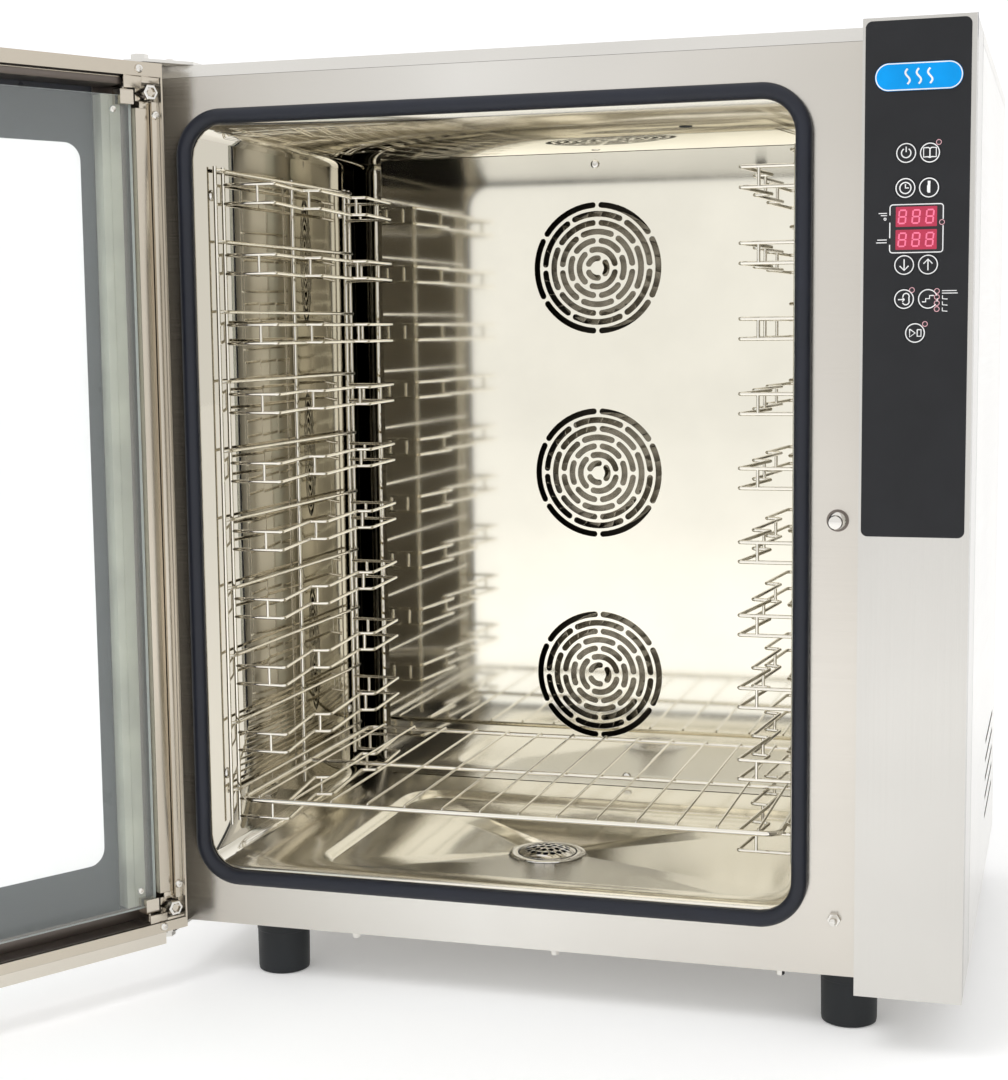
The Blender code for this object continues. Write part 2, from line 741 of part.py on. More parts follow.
def make_badge():
    outline = rounded_rectangle(0.3365, 0.4145, 0.9100, 0.9350, 0.0124, steps=6)
    badge = upright_plate("badge_plate", outline, OVERLAY_FRONT - GAP - 0.0008, OVERLAY_FRONT - GAP)
    keep(badge, material("badge_blue", (0.02, 0.25, 0.62), 0.3))


def make_front_fittings():
    """The door's striker and its spring stop, both screwed to the front frame."""
    striker = turned(
        "door_striker",
        (STRIKER_X, 0.0, STRIKER_Z),
        [
            (0.0, -0.0225),
            (0.0060, -0.0225),
            (0.0070, -0.0215),
            (0.0070, -0.0180),
            (0.0040, -0.0175),
            (0.0040, -0.0030),
            (0.0085, -0.0030),
            (0.0085, -GAP),
            (0.0, -GAP),
        ],
        "Y",
        20,
    )
    keep(striker, wire_chrome())
    stop = turned(
        "door_stop_bolt",
        (STRIKER_X, 0.0, 0.118),
        [
            (0.0, -0.0150),
            (0.0025, -0.0145),
            (0.0040, -0.0120),
            (0.0040, -0.0060),
            (0.0070, -0.0060),
            (0.0070, -GAP),
            (0.0, -GAP),
        ],
        "Y",
        12,
    )
    keep(stop, wire_chrome())


# ---------------------------------------------------------------- hinge and door
def make_hinge_brackets():
    """Plates above and below the door, each with the pin that the door turns on."""
    x, y = HINGE
    low = BODY_TOP + GAP
    outline = [(-0.426, -0.042), (-0.403, -0.042), (-0.368, 0.0), (-0.368, 0.060), (-0.426, 0.060)]
    top = flat_plate("hinge_bracket_top", outline, low, low + 0.003)
    keep(top, steel())
    fuse(top, cylinder("hinge_pin_top", (x, y, 0.971), 0.004, 0.022, sides=16))
    fuse(top, cylinder("hinge_head_top", (x, y, low + 0.0058), 0.009, 0.006, sides=6))
    high = BODY_BOTTOM - GAP
    nose = 0.0115
    outline = [(x + nose, 0.060), (x - nose, 0.060)]
    for step in range(7):
        angle = math.radians(180 + 180 * step / 6)
        outline.append((x + nose * math.cos(angle), y + nose * math.sin(angle)))
    bottom = flat_plate("hinge_bracket_bottom", outline, high - 0.003, high)
    keep(bottom, steel())
    fuse(bottom, cylinder("hinge_pin_bottom", (x, y, 0.066), 0.004, 0.019, sides=16))
    fuse(bottom, cylinder("hinge_head_bottom", (x, y, high - 0.0058), 0.009, 0.006, sides=6))


def door_axis():
    """The empty on the hinge line, turned to the open position. Door pieces are drawn shut."""
    axis = bpy.data.objects.new("door_axis", None)
    PARTS.objects.link(axis)
    axis.parent = OVEN
    axis.location = (*HINGE, 0.0)
    axis.rotation_euler = (0, 0, math.radians(DOOR_OPEN_DEG))
    return axis


def hang(obj, surface, axis):
    """Puts a piece drawn in the shut position on the door's axis."""
    obj.data.transform(Matrix.Translation((-HINGE[0], -HINGE[1], 0)))
    return keep(obj, surface, axis)


def cut_door(target, *others):
    for other in others:
        other.data.transform(Matrix.Translation((-HINGE[0], -HINGE[1], 0)))
        cut(target, other)


def fuse_door(target, *others):
    for other in others:
        other.data.transform(Matrix.Translation((-HINGE[0], -HINGE[1], 0)))
        fuse(target, other)


def make_door_frame(axis):
    """A box of folded sheet with a window on both faces; the inner rim clears the swinging pane."""
    low = (DOOR_LEFT, DOOR_OUTER, DOOR_BOTTOM)
    high = (DOOR_RIGHT, DOOR_INNER, DOOR_TOP)
    frame = hang(box("door_frame", low, high), steel(), axis)
    inside_low = (DOOR_LEFT + SHEET, DOOR_OUTER + SHEET, DOOR_BOTTOM + SHEET)
    inside_high = (DOOR_RIGHT - SHEET, DOOR_INNER - SHEET, DOOR_TOP - SHEET)
    cut_door(frame, box("door_inside", inside_low, inside_high))
    inner_low, inner_high = (DOOR_LEFT + SHEET, -0.03, 0.075), (0.288, 0.01, 0.960)
    cut_door(frame, box("door_inner_window", inner_low, inner_high))
    cut_door(frame, box("door_outer_window", (-0.365, -0.06, 0.084), (0.262, -0.03, 0.956)))
    for index, z in enumerate((DOOR_BOTTOM, DOOR_TOP)):
        cut_door(frame, cylinder(f"door_pin_hole_{index}", (*HINGE, z), 0.0044, 0.02, sides=16))
    cut_door(frame, cylinder("door_striker_hole", (STRIKER_X, DOOR_INNER, STRIKER_Z), 0.0095, 0.02, "Y", 20))
    cut_door(frame, cylinder("door_stop_hole", (STRIKER_X, DOOR_INNER, 0.118), 0.0085, 0.02, "Y", 16))
    cut_door(frame, cylinder("door_spindle_hole", (HANDLE_X, DOOR_OUTER, HANDLE_Z), 0.0055, 0.02, "Y", 16))


def make_door_glass(axis):
    low = (-0.377, DOOR_OUTER + SHEET + GAP, 0.072)
    high = (0.274, DOOR_OUTER + SHEET + GAP + 0.004, 0.966)
    hang(box("outer_glass", low, high), clear_glass(), axis)


def make_drip_gutter(axis):
    """The channel under the door that catches water running down the inner pane."""
    gutter = hang(box("drip_gutter", (-0.397, -0.026, 0.0510), (0.300, -0.0035, 0.0637)), steel(), axis)
    cut_door(gutter, box("gutter_inside", (-0.3958, -0.0248, 0.0522), (0.2988, -0.0047, 0.07)))


def make_glass_brackets(axis):
    """The two lugs inside the door that the inner pane's pins turn in."""
    for name, z in (("glass_bracket_top", 0.953), ("glass_bracket_bottom", 0.074)):
        lug = hang(box(name, (-0.4217, -0.0400, z), (-0.3780, -0.0100, z + 0.003)), steel(), axis)
        cut_door(lug, cylinder(f"{name}_hole", (*GLASS_HINGE, z), 0.00335, 0.02, sides=12))
        cut_door(lug, box(f"{name}_relief", (-0.43, -0.036, z - 0.01), (-0.404, -0.022, z + 0.01)))


def make_inner_glass(axis):
    """The pane that swings out for cleaning, with a clamp and a pin at each hinge corner."""
    pivot = bpy.data.objects.new("glass_axis", None)
    PARTS.objects.link(pivot)
    pivot.parent = axis
    pivot.location = (GLASS_HINGE[0] - HINGE[0], GLASS_HINGE[1] - HINGE[1], 0.0)
    shift = Matrix.Translation((-GLASS_HINGE[0], -GLASS_HINGE[1], 0))
    pane = box("inner_glass", (-0.394, PANE_FRONT, 0.091), (0.283, PANE_BACK, 0.941))
    pane.data.transform(shift)
    keep(pane, clear_glass(), pivot)
    ends = (("glass_clamp_top", 0.932, 0.9515), ("glass_clamp_bottom", 0.085, 0.0805))
    for name, low, pin_middle in ends:
        clamp = box(name, (-0.3945, -0.0270, low), (-0.3790, -0.0115, low + 0.015))
        clamp.data.transform(shift)
        keep(clamp, steel(), pivot)
        if name.endswith("top"):
            bottom, top = 0.90, 0.9413
        else:
            bottom, top = 0.0907, 0.12
        slot = box(f"{name}_slot", (-0.41, PANE_FRONT - GAP, bottom), (-0.37, PANE_BACK + GAP, top))
        slot.data.transform(shift)
        pin = cylinder(f"{name}_pin", (*GLASS_HINGE, pin_middle), 0.003, 0.016, sides=12)
        pin.data.transform(shift)
        cut(clamp, slot)
        fuse(clamp, pin)


def make_handle(axis):
    """A turning handle on the outside. Its spindle moves the latch bar inside the door."""
    pivot = bpy.data.objects.new("handle_axis", None)
    PARTS.objects.link(pivot)
    pivot.parent = axis
    pivot.location = (HANDLE_X - HINGE[0], DOOR_OUTER - HINGE[1], HANDLE_Z)
    grip_y = -0.040
    handle = turned(
        "door_handle",
        (0, 0, 0),
        [
            (0.0, 0.0320),
            (0.0050, 0.0320),
            (0.0050, -GAP),
            (0.0170, -GAP),
            (0.0170, -0.0080),
            (0.0110, -0.0120),
            (0.0100, grip_y),
            (0.0, grip_y),
        ][::-1],
        "Y",
        20,
    )
    keep(handle, steel(), pivot)
    grip = tube("handle_grip", [(0, grip_y, 0.016), (0, grip_y, -0.170)], 0.0105, sides=3)
    helper(grip, pivot)
    combine(handle, grip, "UNION")


def make_latch_bar(axis):
    """A sliding bar with a keyhole: the striker's head enters it, and it lifts behind the head."""
    bar = box("latch_bar", (0.2895, -0.0140, 0.480), (0.3125, -0.0110, 0.546))
    hang(bar, steel(), axis)
    cut_door(bar, cylinder("latch_eye", (STRIKER_X, -0.0125, STRIKER_Z), 0.0088, 0.02, "Y", 20))
    slot_low = (STRIKER_X - 0.0047, -0.02, STRIKER_Z - 0.018)
    slot_high = (STRIKER_X + 0.0047, 0.0, STRIKER_Z)
    cut_door(bar, box("latch_slot", slot_low, slot_high))


def main():
    global PARTS, CUTTERS, OVEN
    clear_scene()
    PARTS = new_collection("combi_steamer_oven")
    CUTTERS = new_collection("combi_steamer_oven_cutters")
    OVEN = bpy.data.objects.new("oven_origin", None)
    PARTS.objects.link(OVEN)
    OVEN.location = (FOOT_X, -FOOT_Y[0], 0.0)
    for make in (
        make_base_tray,
        make_feet,
        make_front_frame,
        make_top_cover,
        make_side_panels,
        make_back_panel,
        make_cavity_liner,
        make_insulation,
        make_door_gasket,
        make_fan_baffle,
        make_fan_wheels,
        make_fan_motors,
        make_heater_rings,
        make_water_manifold,
        make_drain,
        make_steam_vent,
        make_services,
        make_wire_shelf,
        make_control_column,
        make_control_overlay,
        make_display,
        make_keys,
        make_badge,
        make_front_fittings,
        make_hinge_brackets,
    ):
        make()
    make_rack("rack_left", -1)
    make_rack("rack_right", 1)
    axis = door_axis()
    for make in (
        make_door_frame,
        make_door_glass,
        make_drip_gutter,
        make_glass_brackets,
        make_inner_glass,
        make_handle,
        make_latch_bar,
    ):
        make(axis)


main()
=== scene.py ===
"""Looks of the combi steamer oven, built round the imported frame.

Every piece is drawn in the oven's own measures: X = 0 is the cabinet's middle, Y = 0 the front
panel's face, Z = 0 the floor. Door pieces are drawn shut, and the door's place then opens them.
"""

import json
import math

import bmesh
import bpy
from mathutils import Matrix, Vector


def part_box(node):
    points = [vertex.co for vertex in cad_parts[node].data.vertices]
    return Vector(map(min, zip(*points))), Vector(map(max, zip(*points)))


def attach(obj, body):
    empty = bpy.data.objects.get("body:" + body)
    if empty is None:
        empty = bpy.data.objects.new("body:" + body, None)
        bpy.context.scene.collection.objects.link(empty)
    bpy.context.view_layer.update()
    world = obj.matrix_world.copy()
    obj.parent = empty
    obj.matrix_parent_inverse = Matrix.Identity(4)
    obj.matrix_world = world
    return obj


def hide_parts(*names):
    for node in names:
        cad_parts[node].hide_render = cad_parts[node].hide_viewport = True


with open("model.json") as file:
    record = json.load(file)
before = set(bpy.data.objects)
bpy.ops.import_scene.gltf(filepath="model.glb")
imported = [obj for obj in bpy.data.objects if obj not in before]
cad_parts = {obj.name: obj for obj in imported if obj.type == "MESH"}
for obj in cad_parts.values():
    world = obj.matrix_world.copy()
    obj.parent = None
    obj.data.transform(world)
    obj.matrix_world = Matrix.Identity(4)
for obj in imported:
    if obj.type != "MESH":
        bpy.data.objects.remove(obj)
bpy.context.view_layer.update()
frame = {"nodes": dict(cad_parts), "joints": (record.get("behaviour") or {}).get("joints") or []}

# ------------ places taken from the frame
cover_low, cover_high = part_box("top_cover")
ORIGIN = Vector(((cover_low.x + cover_high.x) / 2, cover_low.y, 0.0))
OVEN = Matrix.Translation(ORIGIN)
JOINTS = {joint["name"]: joint for joint in frame["joints"]}
HINGE = Vector(JOINTS["door_hinge"]["pos_m"]) - ORIGIN
DOOR_OPEN = math.radians(-120)
TURN = Matrix.Translation(HINGE) @ Matrix.Rotation(DOOR_OPEN, 4, "Z") @ Matrix.Translation(-HINGE)
DOOR = OVEN @ TURN


def box_of(node):
    """A cabinet node's lowest and highest corner in the oven's own measures."""
    low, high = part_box(node)
    return low - ORIGIN, high - ORIGIN


def middle_of(node):
    low, high = box_of(node)
    return (low + high) / 2


BODY_HIGH = box_of("top_cover")[1]
LINER_LOW, LINER_HIGH = box_of("cavity_liner")
SHEET = 0.002
CAVITY_LEFT = LINER_LOW.x + SHEET
CAVITY_RIGHT = LINER_HIGH.x - SHEET
CAVITY_TOP = LINER_HIGH.z - SHEET
CAVITY_BACK = LINER_HIGH.y - SHEET
RECESS_DEPTH = 0.009
CAVITY_BOTTOM = LINER_LOW.z + SHEET + RECESS_DEPTH
MIDDLE = (CAVITY_LEFT + CAVITY_RIGHT) / 2
RECESS = (-0.28, 0.242, 0.045, 0.398)
FAN_PLACES = [Vector(JOINTS[f"fan_{i}_spin"]["pos_m"]) - ORIGIN for i in (1, 2, 3)]
BAFFLE_LOW, BAFFLE_HIGH = box_of("fan_baffle")
BAFFLE_BOTTOM = CAVITY_BOTTOM + 0.0006
BAFFLE_TOP = CAVITY_TOP - 0.0006
OVERLAY_LOW, OVERLAY_HIGH = box_of("control_overlay")
INK_FACE = OVERLAY_LOW.y - 0.0001
COLUMN_LEFT, COLUMN_BACK = box_of("control_column")[0].x, box_of("control_column")[1].y


# ------------ materials
def fill(node, values):
    """Sets a node's inputs by name."""
    for name, value in values.items():
        node.inputs[name].default_value = value


def new_material(name, color, roughness, metallic=0.0):
    made = bpy.data.materials.new(name)
    made.use_nodes = True
    shader = made.node_tree.nodes["Principled BSDF"]
    fill(shader, {"Base Color": (*color, 1.0), "Roughness": roughness, "Metallic": metallic})
    return made, made.node_tree, shader


def vary_roughness(tree, shader, value, low, high):
    tree.links.new(spread(tree, value, low, high), shader.inputs["Roughness"])


def noise_in(tree, scale, detail=3.0, stretch=(1.0, 1.0, 1.0)):
    """A noise texture's value in the piece's own measures, stretched along its axes."""
    place = tree.nodes.new("ShaderNodeTexCoord")
    mapping = tree.nodes.new("ShaderNodeMapping")
    fill(mapping, {"Scale": stretch})
    texture = tree.nodes.new("ShaderNodeTexNoise")
    fill(texture, {"Scale": scale, "Detail": detail})
    tree.links.new(place.outputs["Object"], mapping.inputs["Vector"])
    tree.links.new(mapping.outputs["Vector"], texture.inputs["Vector"])
    return texture.outputs["Fac"]


def spread(tree, value, low, high, start=0.3, end=0.7):
    """Maps a value between start and end to the range low to high."""
    node = tree.nodes.new("ShaderNodeMapRange")
    fill(node, {"From Min": start, "From Max": end, "To Min": low, "To Max": high})
    tree.links.new(value, node.inputs["Value"])
    return node.outputs["Result"]


def ramp_of(tree, value, stops):
    """The colour that goes with a value, blended between stops of (position, colour)."""
    ramp = tree.nodes.new("ShaderNodeValToRGB")
    elements = ramp.color_ramp.elements
    while len(elements) < len(stops):
        elements.new(0.5)
    for element, (position, color) in zip(elements, stops):
        element.position = position
        element.color = (*color, 1.0)
    tree.links.new(value, ramp.inputs["Fac"])
    return ramp.outputs["Color"]


def tint(tree, shader, value, dark, light):
    """Drives the base colour from a value, between two colours."""
    color = ramp_of(tree, value, ((0.3, dark), (0.7, light)))
    tree.links.new(color, shader.inputs["Base Color"])


def bump(tree, shader, value, strength, distance, under=None):
    node = tree.nodes.new("ShaderNodeBump")
    fill(node, {"Strength": strength, "Distance": distance})
    tree.links.new(value, node.inputs["Height"])
    if under is not None:
        tree.links.new(under, node.inputs["Normal"])
    tree.links.new(node.outputs["Normal"], shader.inputs["Normal"])
    return node.outputs["Normal"]


def scaled(color, factor):
    return tuple(min(1.0, channel * factor) for channel in color)


def brushed(name, color, roughness, grain):
    """Brushed stainless: fine lines along one axis, slow colour drift and a slightly wavy sheet."""
    made, tree, shader = new_material(name, color, roughness, 1.0)
    lines = noise_in(tree, 1.0, 4.0, grain)
    drift = noise_in(tree, 5.0, 2.0)
    tint(tree, shader, drift, scaled(color, 0.96), scaled(color, 1.03))
    vary_roughness(tree, shader, lines, roughness - 0.03, roughness + 0.04)
    wave = bump(tree, shader, noise_in(tree, 2.2, 1.0), 0.06, 0.004)
    bump(tree, shader, lines, 0.05, 0.00006, wave)
    return made


def polished(name, color, roughness, waviness):
    """Mirror-polished stainless whose thin sheet bends its reflections."""
    made, tree, shader = new_material(name, color, roughness, 1.0)
    haze = noise_in(tree, 9.0, 5.0)
    tint(tree, shader, haze, scaled(color, 0.95), scaled(color, 1.03))
    vary_roughness(tree, shader, haze, roughness, roughness + 0.02)
    bump(tree, shader, noise_in(tree, 5.0, 1.5), waviness, 0.006)
    return made


def parts_of(tree, kind):
    """The X, Y and Z parts of a point's place (Object) or of the way it faces (Normal)."""
    place = tree.nodes.new("ShaderNodeTexCoord")
    split = tree.nodes.new("ShaderNodeSeparateXYZ")
    tree.links.new(place.outputs[kind], split.inputs["Vector"])
    return split.outputs


def liner_finish(name, wall, level):
    """The cavity's sheet: a mirror at the left, duller to the right, and satin on the floor. Upright faces
    take the darker, warmer wall colour and level faces the paler one: painted shade on the walls, painted
    light on floor and ceiling.
    """
    made, tree, shader = new_material(name, wall, 0.02, 1.0)
    where = parts_of(tree, "Object")
    size = tree.nodes.new("ShaderNodeMath")
    size.operation = "ABSOLUTE"
    tree.links.new(parts_of(tree, "Normal")["Z"], size.inputs[0])
    tint(tree, shader, size.outputs["Value"], wall, level)
    upright = spread(tree, where["X"], 0.015, 0.34, CAVITY_LEFT + 0.1, CAVITY_RIGHT - 0.1)
    lying = spread(tree, where["Z"], 0.2, 0.07, CAVITY_BOTTOM, CAVITY_TOP)
    both = tree.nodes.new("ShaderNodeMix")
    tree.links.new(size.outputs["Value"], both.inputs[0])
    tree.links.new(upright, both.inputs[2])
    tree.links.new(lying, both.inputs[3])
    tree.links.new(both.outputs[0], shader.inputs["Roughness"])
    bump(tree, shader, noise_in(tree, 5.0, 1.5), 0.05, 0.006)
    return made


def shade_hinge_side(material, node):
    """Paints shade onto a sheet towards the hinge, where the open door shades it and is reflected dark in
    it, with a little painted shade again at the far end.
    """
    tree = material.node_tree
    shader = tree.nodes["Principled BSDF"]
    plain = shader.inputs["Base Color"].links[0].from_socket
    where = parts_of(tree, "Object")
    local = frame["nodes"][node].matrix_world.inverted() @ ORIGIN
    reach = spread(tree, where["X"], 0.0, 1.0, local.x - 0.424, local.x + 0.326)
    levels = ((0.0, 0.4), (0.06, 0.54), (0.08, 0.73), (0.467, 1.0), (1.0, 0.84))
    stops = [(x, (k, k * 0.97, k * 0.93) if k < 1 else (1, 1, 1)) for x, k in levels]
    shade = ramp_of(tree, reach, stops)
    both = tree.nodes.new("ShaderNodeMix")
    both.data_type = "RGBA"
    both.blend_type = "MULTIPLY"
    both.inputs[0].default_value = 1.0
    tree.links.new(plain, both.inputs[6])
    tree.links.new(shade, both.inputs[7])
    tree.links.new(both.outputs[2], shader.inputs["Base Color"])


def shade_inner_side(material, inward, shade_color):
    """Paints shade, as a darker, warmer tone, on the faces of a sheet that look the way inward points."""
    tree = material.node_tree
    shader = tree.nodes["Principled BSDF"]
    place = tree.nodes.new("ShaderNodeTexCoord")
    facing = tree.nodes.new("ShaderNodeVectorMath")
    facing.operation = "DOT_PRODUCT"
    facing.inputs[1].default_value = inward
    tree.links.new(place.outputs["Normal"], facing.inputs[0])
    tint(tree, shader, facing.outputs["Value"], STEEL_COLOR, shade_color)


def moulded(name, color, roughness, grain=900.0, relief=0.15, specular=0.5):
    made, tree, shader = new_material(name, color, roughness)
    fill(shader, {"Specular IOR Level": specular})
    fine = noise_in(tree, grain, 3.0)
    slow = noise_in(tree, 20.0, 3.0)
    tint(tree, shader, slow, scaled(color, 0.85), scaled(color, 1.15))
    vary_roughness(tree, shader, slow, roughness - 0.04, roughness + 0.06)
    bump(tree, shader, fine, relief, 0.0002)
    return made


def glass(name, color, base_alpha, edge_alpha):
    """Clear sheet glass: nearly open face on, and reflecting like a mirror at a glancing angle."""
    made, tree, shader = new_material(name, color, 0.03)
    fill(shader, {"Specular IOR Level": 0.9})
    facing = tree.nodes.new("ShaderNodeFresnel")
    fill(facing, {"IOR": 1.5})
    alpha = spread(tree, facing.outputs["Fac"], base_alpha, edge_alpha, 0.04, 0.8)
    tree.links.new(alpha, shader.inputs["Alpha"])
    smear = noise_in(tree, 6.0, 3.0)
    vary_roughness(tree, shader, smear, 0.015, 0.05)
    return made


def glowing(name, color, light, strength):
    made, tree, shader = new_material(name, color, 0.25)
    fill(shader, {"Emission Color": (*light, 1.0), "Emission Strength": strength})
    slow = noise_in(tree, 120.0, 2.0)
    tint(tree, shader, slow, scaled(color, 0.92), scaled(color, 1.08))
    return made


def mineral_wool():
    made, tree, shader = new_material("mineral_wool_look", (0.62, 0.56, 0.38), 0.95)
    fibre = noise_in(tree, 220.0, 6.0, (1.0, 1.0, 3.0))
    tint(tree, shader, fibre, (0.46, 0.4, 0.24), (0.74, 0.68, 0.48))
    bump(tree, shader, fibre, 0.8, 0.002)
    return made


HORIZONTAL = (5.0, 5.0, 900.0)
VERTICAL = (900.0, 900.0, 5.0)
LENGTHWISE = (900.0, 5.0, 5.0)
STEEL_COLOR = (0.73, 0.71, 0.67)
steel = brushed("steel_brushed", STEEL_COLOR, 0.17, HORIZONTAL)
steel_upright = brushed("steel_upright", scaled(STEEL_COLOR, 0.86), 0.22, VERTICAL)
steel_top = brushed("steel_top", STEEL_COLOR, 0.22, LENGTHWISE)
# The darker, warmer wall colour and the pale colour of level faces are painted shade and painted light.
mirror = liner_finish("steel_mirror", (0.64, 0.6, 0.51), (0.93, 0.89, 0.79))
baffle_steel = polished("steel_baffle", (0.86, 0.825, 0.715), 0.06, 0.008)
# A darker, warmer copy of the steel for the door's inner parts: painted shade.
door_steel_shaded = brushed("steel_door", (0.6, 0.54, 0.45), 0.2, VERTICAL)
door_shell = brushed("steel_door_shell", STEEL_COLOR, 0.2, VERTICAL)
rail_steel = brushed("steel_door_rail", (0.66, 0.6, 0.51), 0.2, HORIZONTAL)
channel_grey = moulded("channel_pale", (0.66, 0.665, 0.55), 0.45, 900.0, 0.03, 0.3)
front_steel = brushed("steel_front", (0.76, 0.74, 0.7), 0.22, HORIZONTAL)
steel_lip = brushed("steel_lip", (0.7, 0.65, 0.57), 0.2, HORIZONTAL)
bright = polished("steel_bright", (0.8, 0.775, 0.73), 0.1, 0.02)
wire = polished("wire_plated", (0.88, 0.84, 0.75), 0.05, 0.01)
# A near-black copy of the polished steel: painted shade on the rear wall behind the baffle.
rear_wall_shade = polished("steel_rear_shade", (0.075, 0.066, 0.052), 0.38, 0.05)
# The fan wheels' dark, warm steel is painted shade: they sit behind the baffle.
wheel_steel_shaded = polished("steel_wheel_shaded", (0.3, 0.27, 0.21), 0.22, 0.02)
# The heaters' own dark sheath colour, also used as painted shade on the door's recessed steps, the
# channel's back and the striker's hole.
sheath_and_shade = brushed("heater_sheath_and_shade", (0.22, 0.19, 0.17), 0.42, HORIZONTAL)
motor = moulded("motor_paint_look", (0.22, 0.23, 0.25), 0.45, 700.0)
rubber = moulded("rubber_seal", (0.01, 0.012, 0.02), 0.42, 500.0, 0.06, 0.4)
plastic = moulded("plastic_black", (0.012, 0.014, 0.016), 0.5, 1200.0, 0.12, 0.35)
membrane = moulded("membrane_charcoal", (0.014, 0.0145, 0.0165), 0.5, 2600.0, 0.08, 0.28)
ink = moulded("ink_white", (0.82, 0.82, 0.82), 0.45, 2000.0, 0.02)
led_ink = moulded("ink_red", (0.72, 0.4, 0.44), 0.4, 2000.0, 0.02)
lens_black = moulded("lens_black", (0.012, 0.01, 0.012), 0.18, 2000.0, 0.01)
display = glowing("display_lit", (0.4, 0.02, 0.06), (0.62, 0.04, 0.09), 0.06)
digits = glowing("digits_lit", (0.66, 0.12, 0.22), (0.95, 0.26, 0.38), 0.32)
badge = moulded("badge_enamel", (0, 0.29, 0.74), 0.3, 1500.0, 0.01, 0.15)
board = moulded("board_lacquer", (0.02, 0.16, 0.07), 0.35, 300.0, 0.3)
wool = mineral_wool()
brass = brushed("brass_turned", (0.7, 0.55, 0.28), 0.28, HORIZONTAL)
pane = glass("glass_clear", (0.86, 0.91, 0.89), 0.1, 0.85)
outer_pane = glass("glass_outer", (0.86, 0.92, 0.9), 0.05, 0.6)
print_black = moulded("glass_print", (0.03, 0.033, 0.042), 0.3, 1500.0, 0.02)
dark_void = moulded("unlit_inside", (0.012, 0.011, 0.01), 0.7, 300.0, 0.1)


# ------------ building blocks
def link(obj):
    bpy.context.scene.collection.objects.link(obj)
    return obj


def mesh_piece(name, bm, smooth=35.0):
    bmesh.ops.recalc_face_normals(bm, faces=bm.faces)
    mesh = bpy.data.meshes.new(name)
    bm.to_mesh(mesh)
    bm.free()
    mesh.shade_smooth()
    mesh.set_sharp_from_angle(angle=math.radians(smooth))
    return link(bpy.data.objects.new(name, mesh))


def curve_piece(name, lines, cyclic, dimensions="3D"):
    curve = bpy.data.curves.new(name, "CURVE")
    curve.dimensions = dimensions
    for line in lines:
        spline = curve.splines.new("POLY")
        spline.points.add(len(line) - 1)
        for place, point in zip(spline.points, line):
            place.co = (*point, 1.0)
        spline.use_cyclic_u = cyclic
    return link(bpy.data.objects.new(name, curve))


def as_mesh(obj, smooth):
    """Makes a curve a mesh, with its caps welded."""
    graph = bpy.context.evaluated_depsgraph_get()
    graph.update()
    mesh = bpy.data.meshes.new_from_object(obj.evaluated_get(graph))
    name = obj.name
    old = obj.data
    bpy.data.objects.remove(obj, do_unlink=True)
    bpy.data.curves.remove(old)
    bm = bmesh.new()
    bm.from_mesh(mesh)
    bpy.data.meshes.remove(mesh)
    bmesh.ops.remove_doubles(bm, verts=bm.verts, dist=1e-6)
    return mesh_piece(name, bm, smooth)


def rounded(points, radius, steps=4):
    """The route with each corner between its ends turned into a smooth bend."""
    points = [Vector(point) for point in points]
    route = [points[0]]
    for before, corner, after in zip(points, points[1:], points[2:]):
        back, ahead = before - corner, after - corner
        reach = min(radius, back.length / 2.1, ahead.length / 2.1)
        start = corner + back.normalized() * reach
        end = corner + ahead.normalized() * reach
        for step in range(steps + 1):
            t = step / steps
            route.append(start.lerp(corner, t).lerp(corner.lerp(end, t), t))
    return [*route, points[-1]]


def wires(name, lines, radius, cyclic=False, sides=3):
    """Round wires along several routes, as one piece."""
    obj = curve_piece(name, lines, cyclic)
    obj.data.bevel_depth = radius
    obj.data.bevel_resolution = sides
    obj.data.use_fill_caps = not cyclic
    return as_mesh(obj, 60.0)


def arc(x, z, radius, start, end, steps=20):
    """Points along an arc between two angles in degrees."""
    angles = [math.radians(start + (end - start) * step / steps) for step in range(steps + 1)]
    return [(x + radius * math.cos(angle), z + radius * math.sin(angle)) for angle in angles]


def circle(x, z, radius, steps=32):
    return arc(x, z, radius, 0, 360, steps)[:-1]


def rounded_rectangle(left, right, bottom, top, corner, steps=8):
    near, far = left + corner, right - corner
    low, high = bottom + corner, top - corner
    points = []
    for x, z, start in ((far, high, 0), (near, high, 90), (near, low, 180), (far, low, 270)):
        points += arc(x, z, corner, start, start + 90, steps)
    return points


def plate(name, outlines, low, high, edge=0.0003, level=False):
    """A sheet in the XZ plane or a level one, with holes where outlines nest, and fine edges."""
    obj = curve_piece(name, [[(x, y, 0.0) for x, y in line] for line in outlines], True, "2D")
    obj.data.fill_mode = "BOTH"
    obj.data.extrude = (high - low) / 2 - edge
    obj.data.bevel_depth = edge
    obj.data.bevel_resolution = 1
    obj.data.offset = -edge
    made = as_mesh(obj, 18.0)
    turn = Matrix.Rotation(math.radians(0 if level else 90), 4, "X")
    out = Vector((0, 0, 1) if level else (0, 1, 0))
    made.data.transform(Matrix.Translation(out * (low + high) / 2) @ turn)
    return made


def merge(bm, made):
    """Moves the faces of one mesh being built into another."""
    mesh = bpy.data.meshes.new("part")
    made.to_mesh(mesh)
    made.free()
    bm.from_mesh(mesh)
    bpy.data.meshes.remove(mesh)


def joined(name, pieces):
    """Several finished pieces of wire as one."""
    bm = bmesh.new()
    for piece in pieces:
        bm.from_mesh(piece.data)
        bpy.data.objects.remove(piece, do_unlink=True)
    return mesh_piece(name, bm, 60.0)


def along(axis):
    turns = {"X": ("Y", 90.0), "Y": ("X", -90.0), "Z": ("Z", 0.0)}
    about, angle = turns[axis]
    return Matrix.Rotation(math.radians(angle), 4, about)


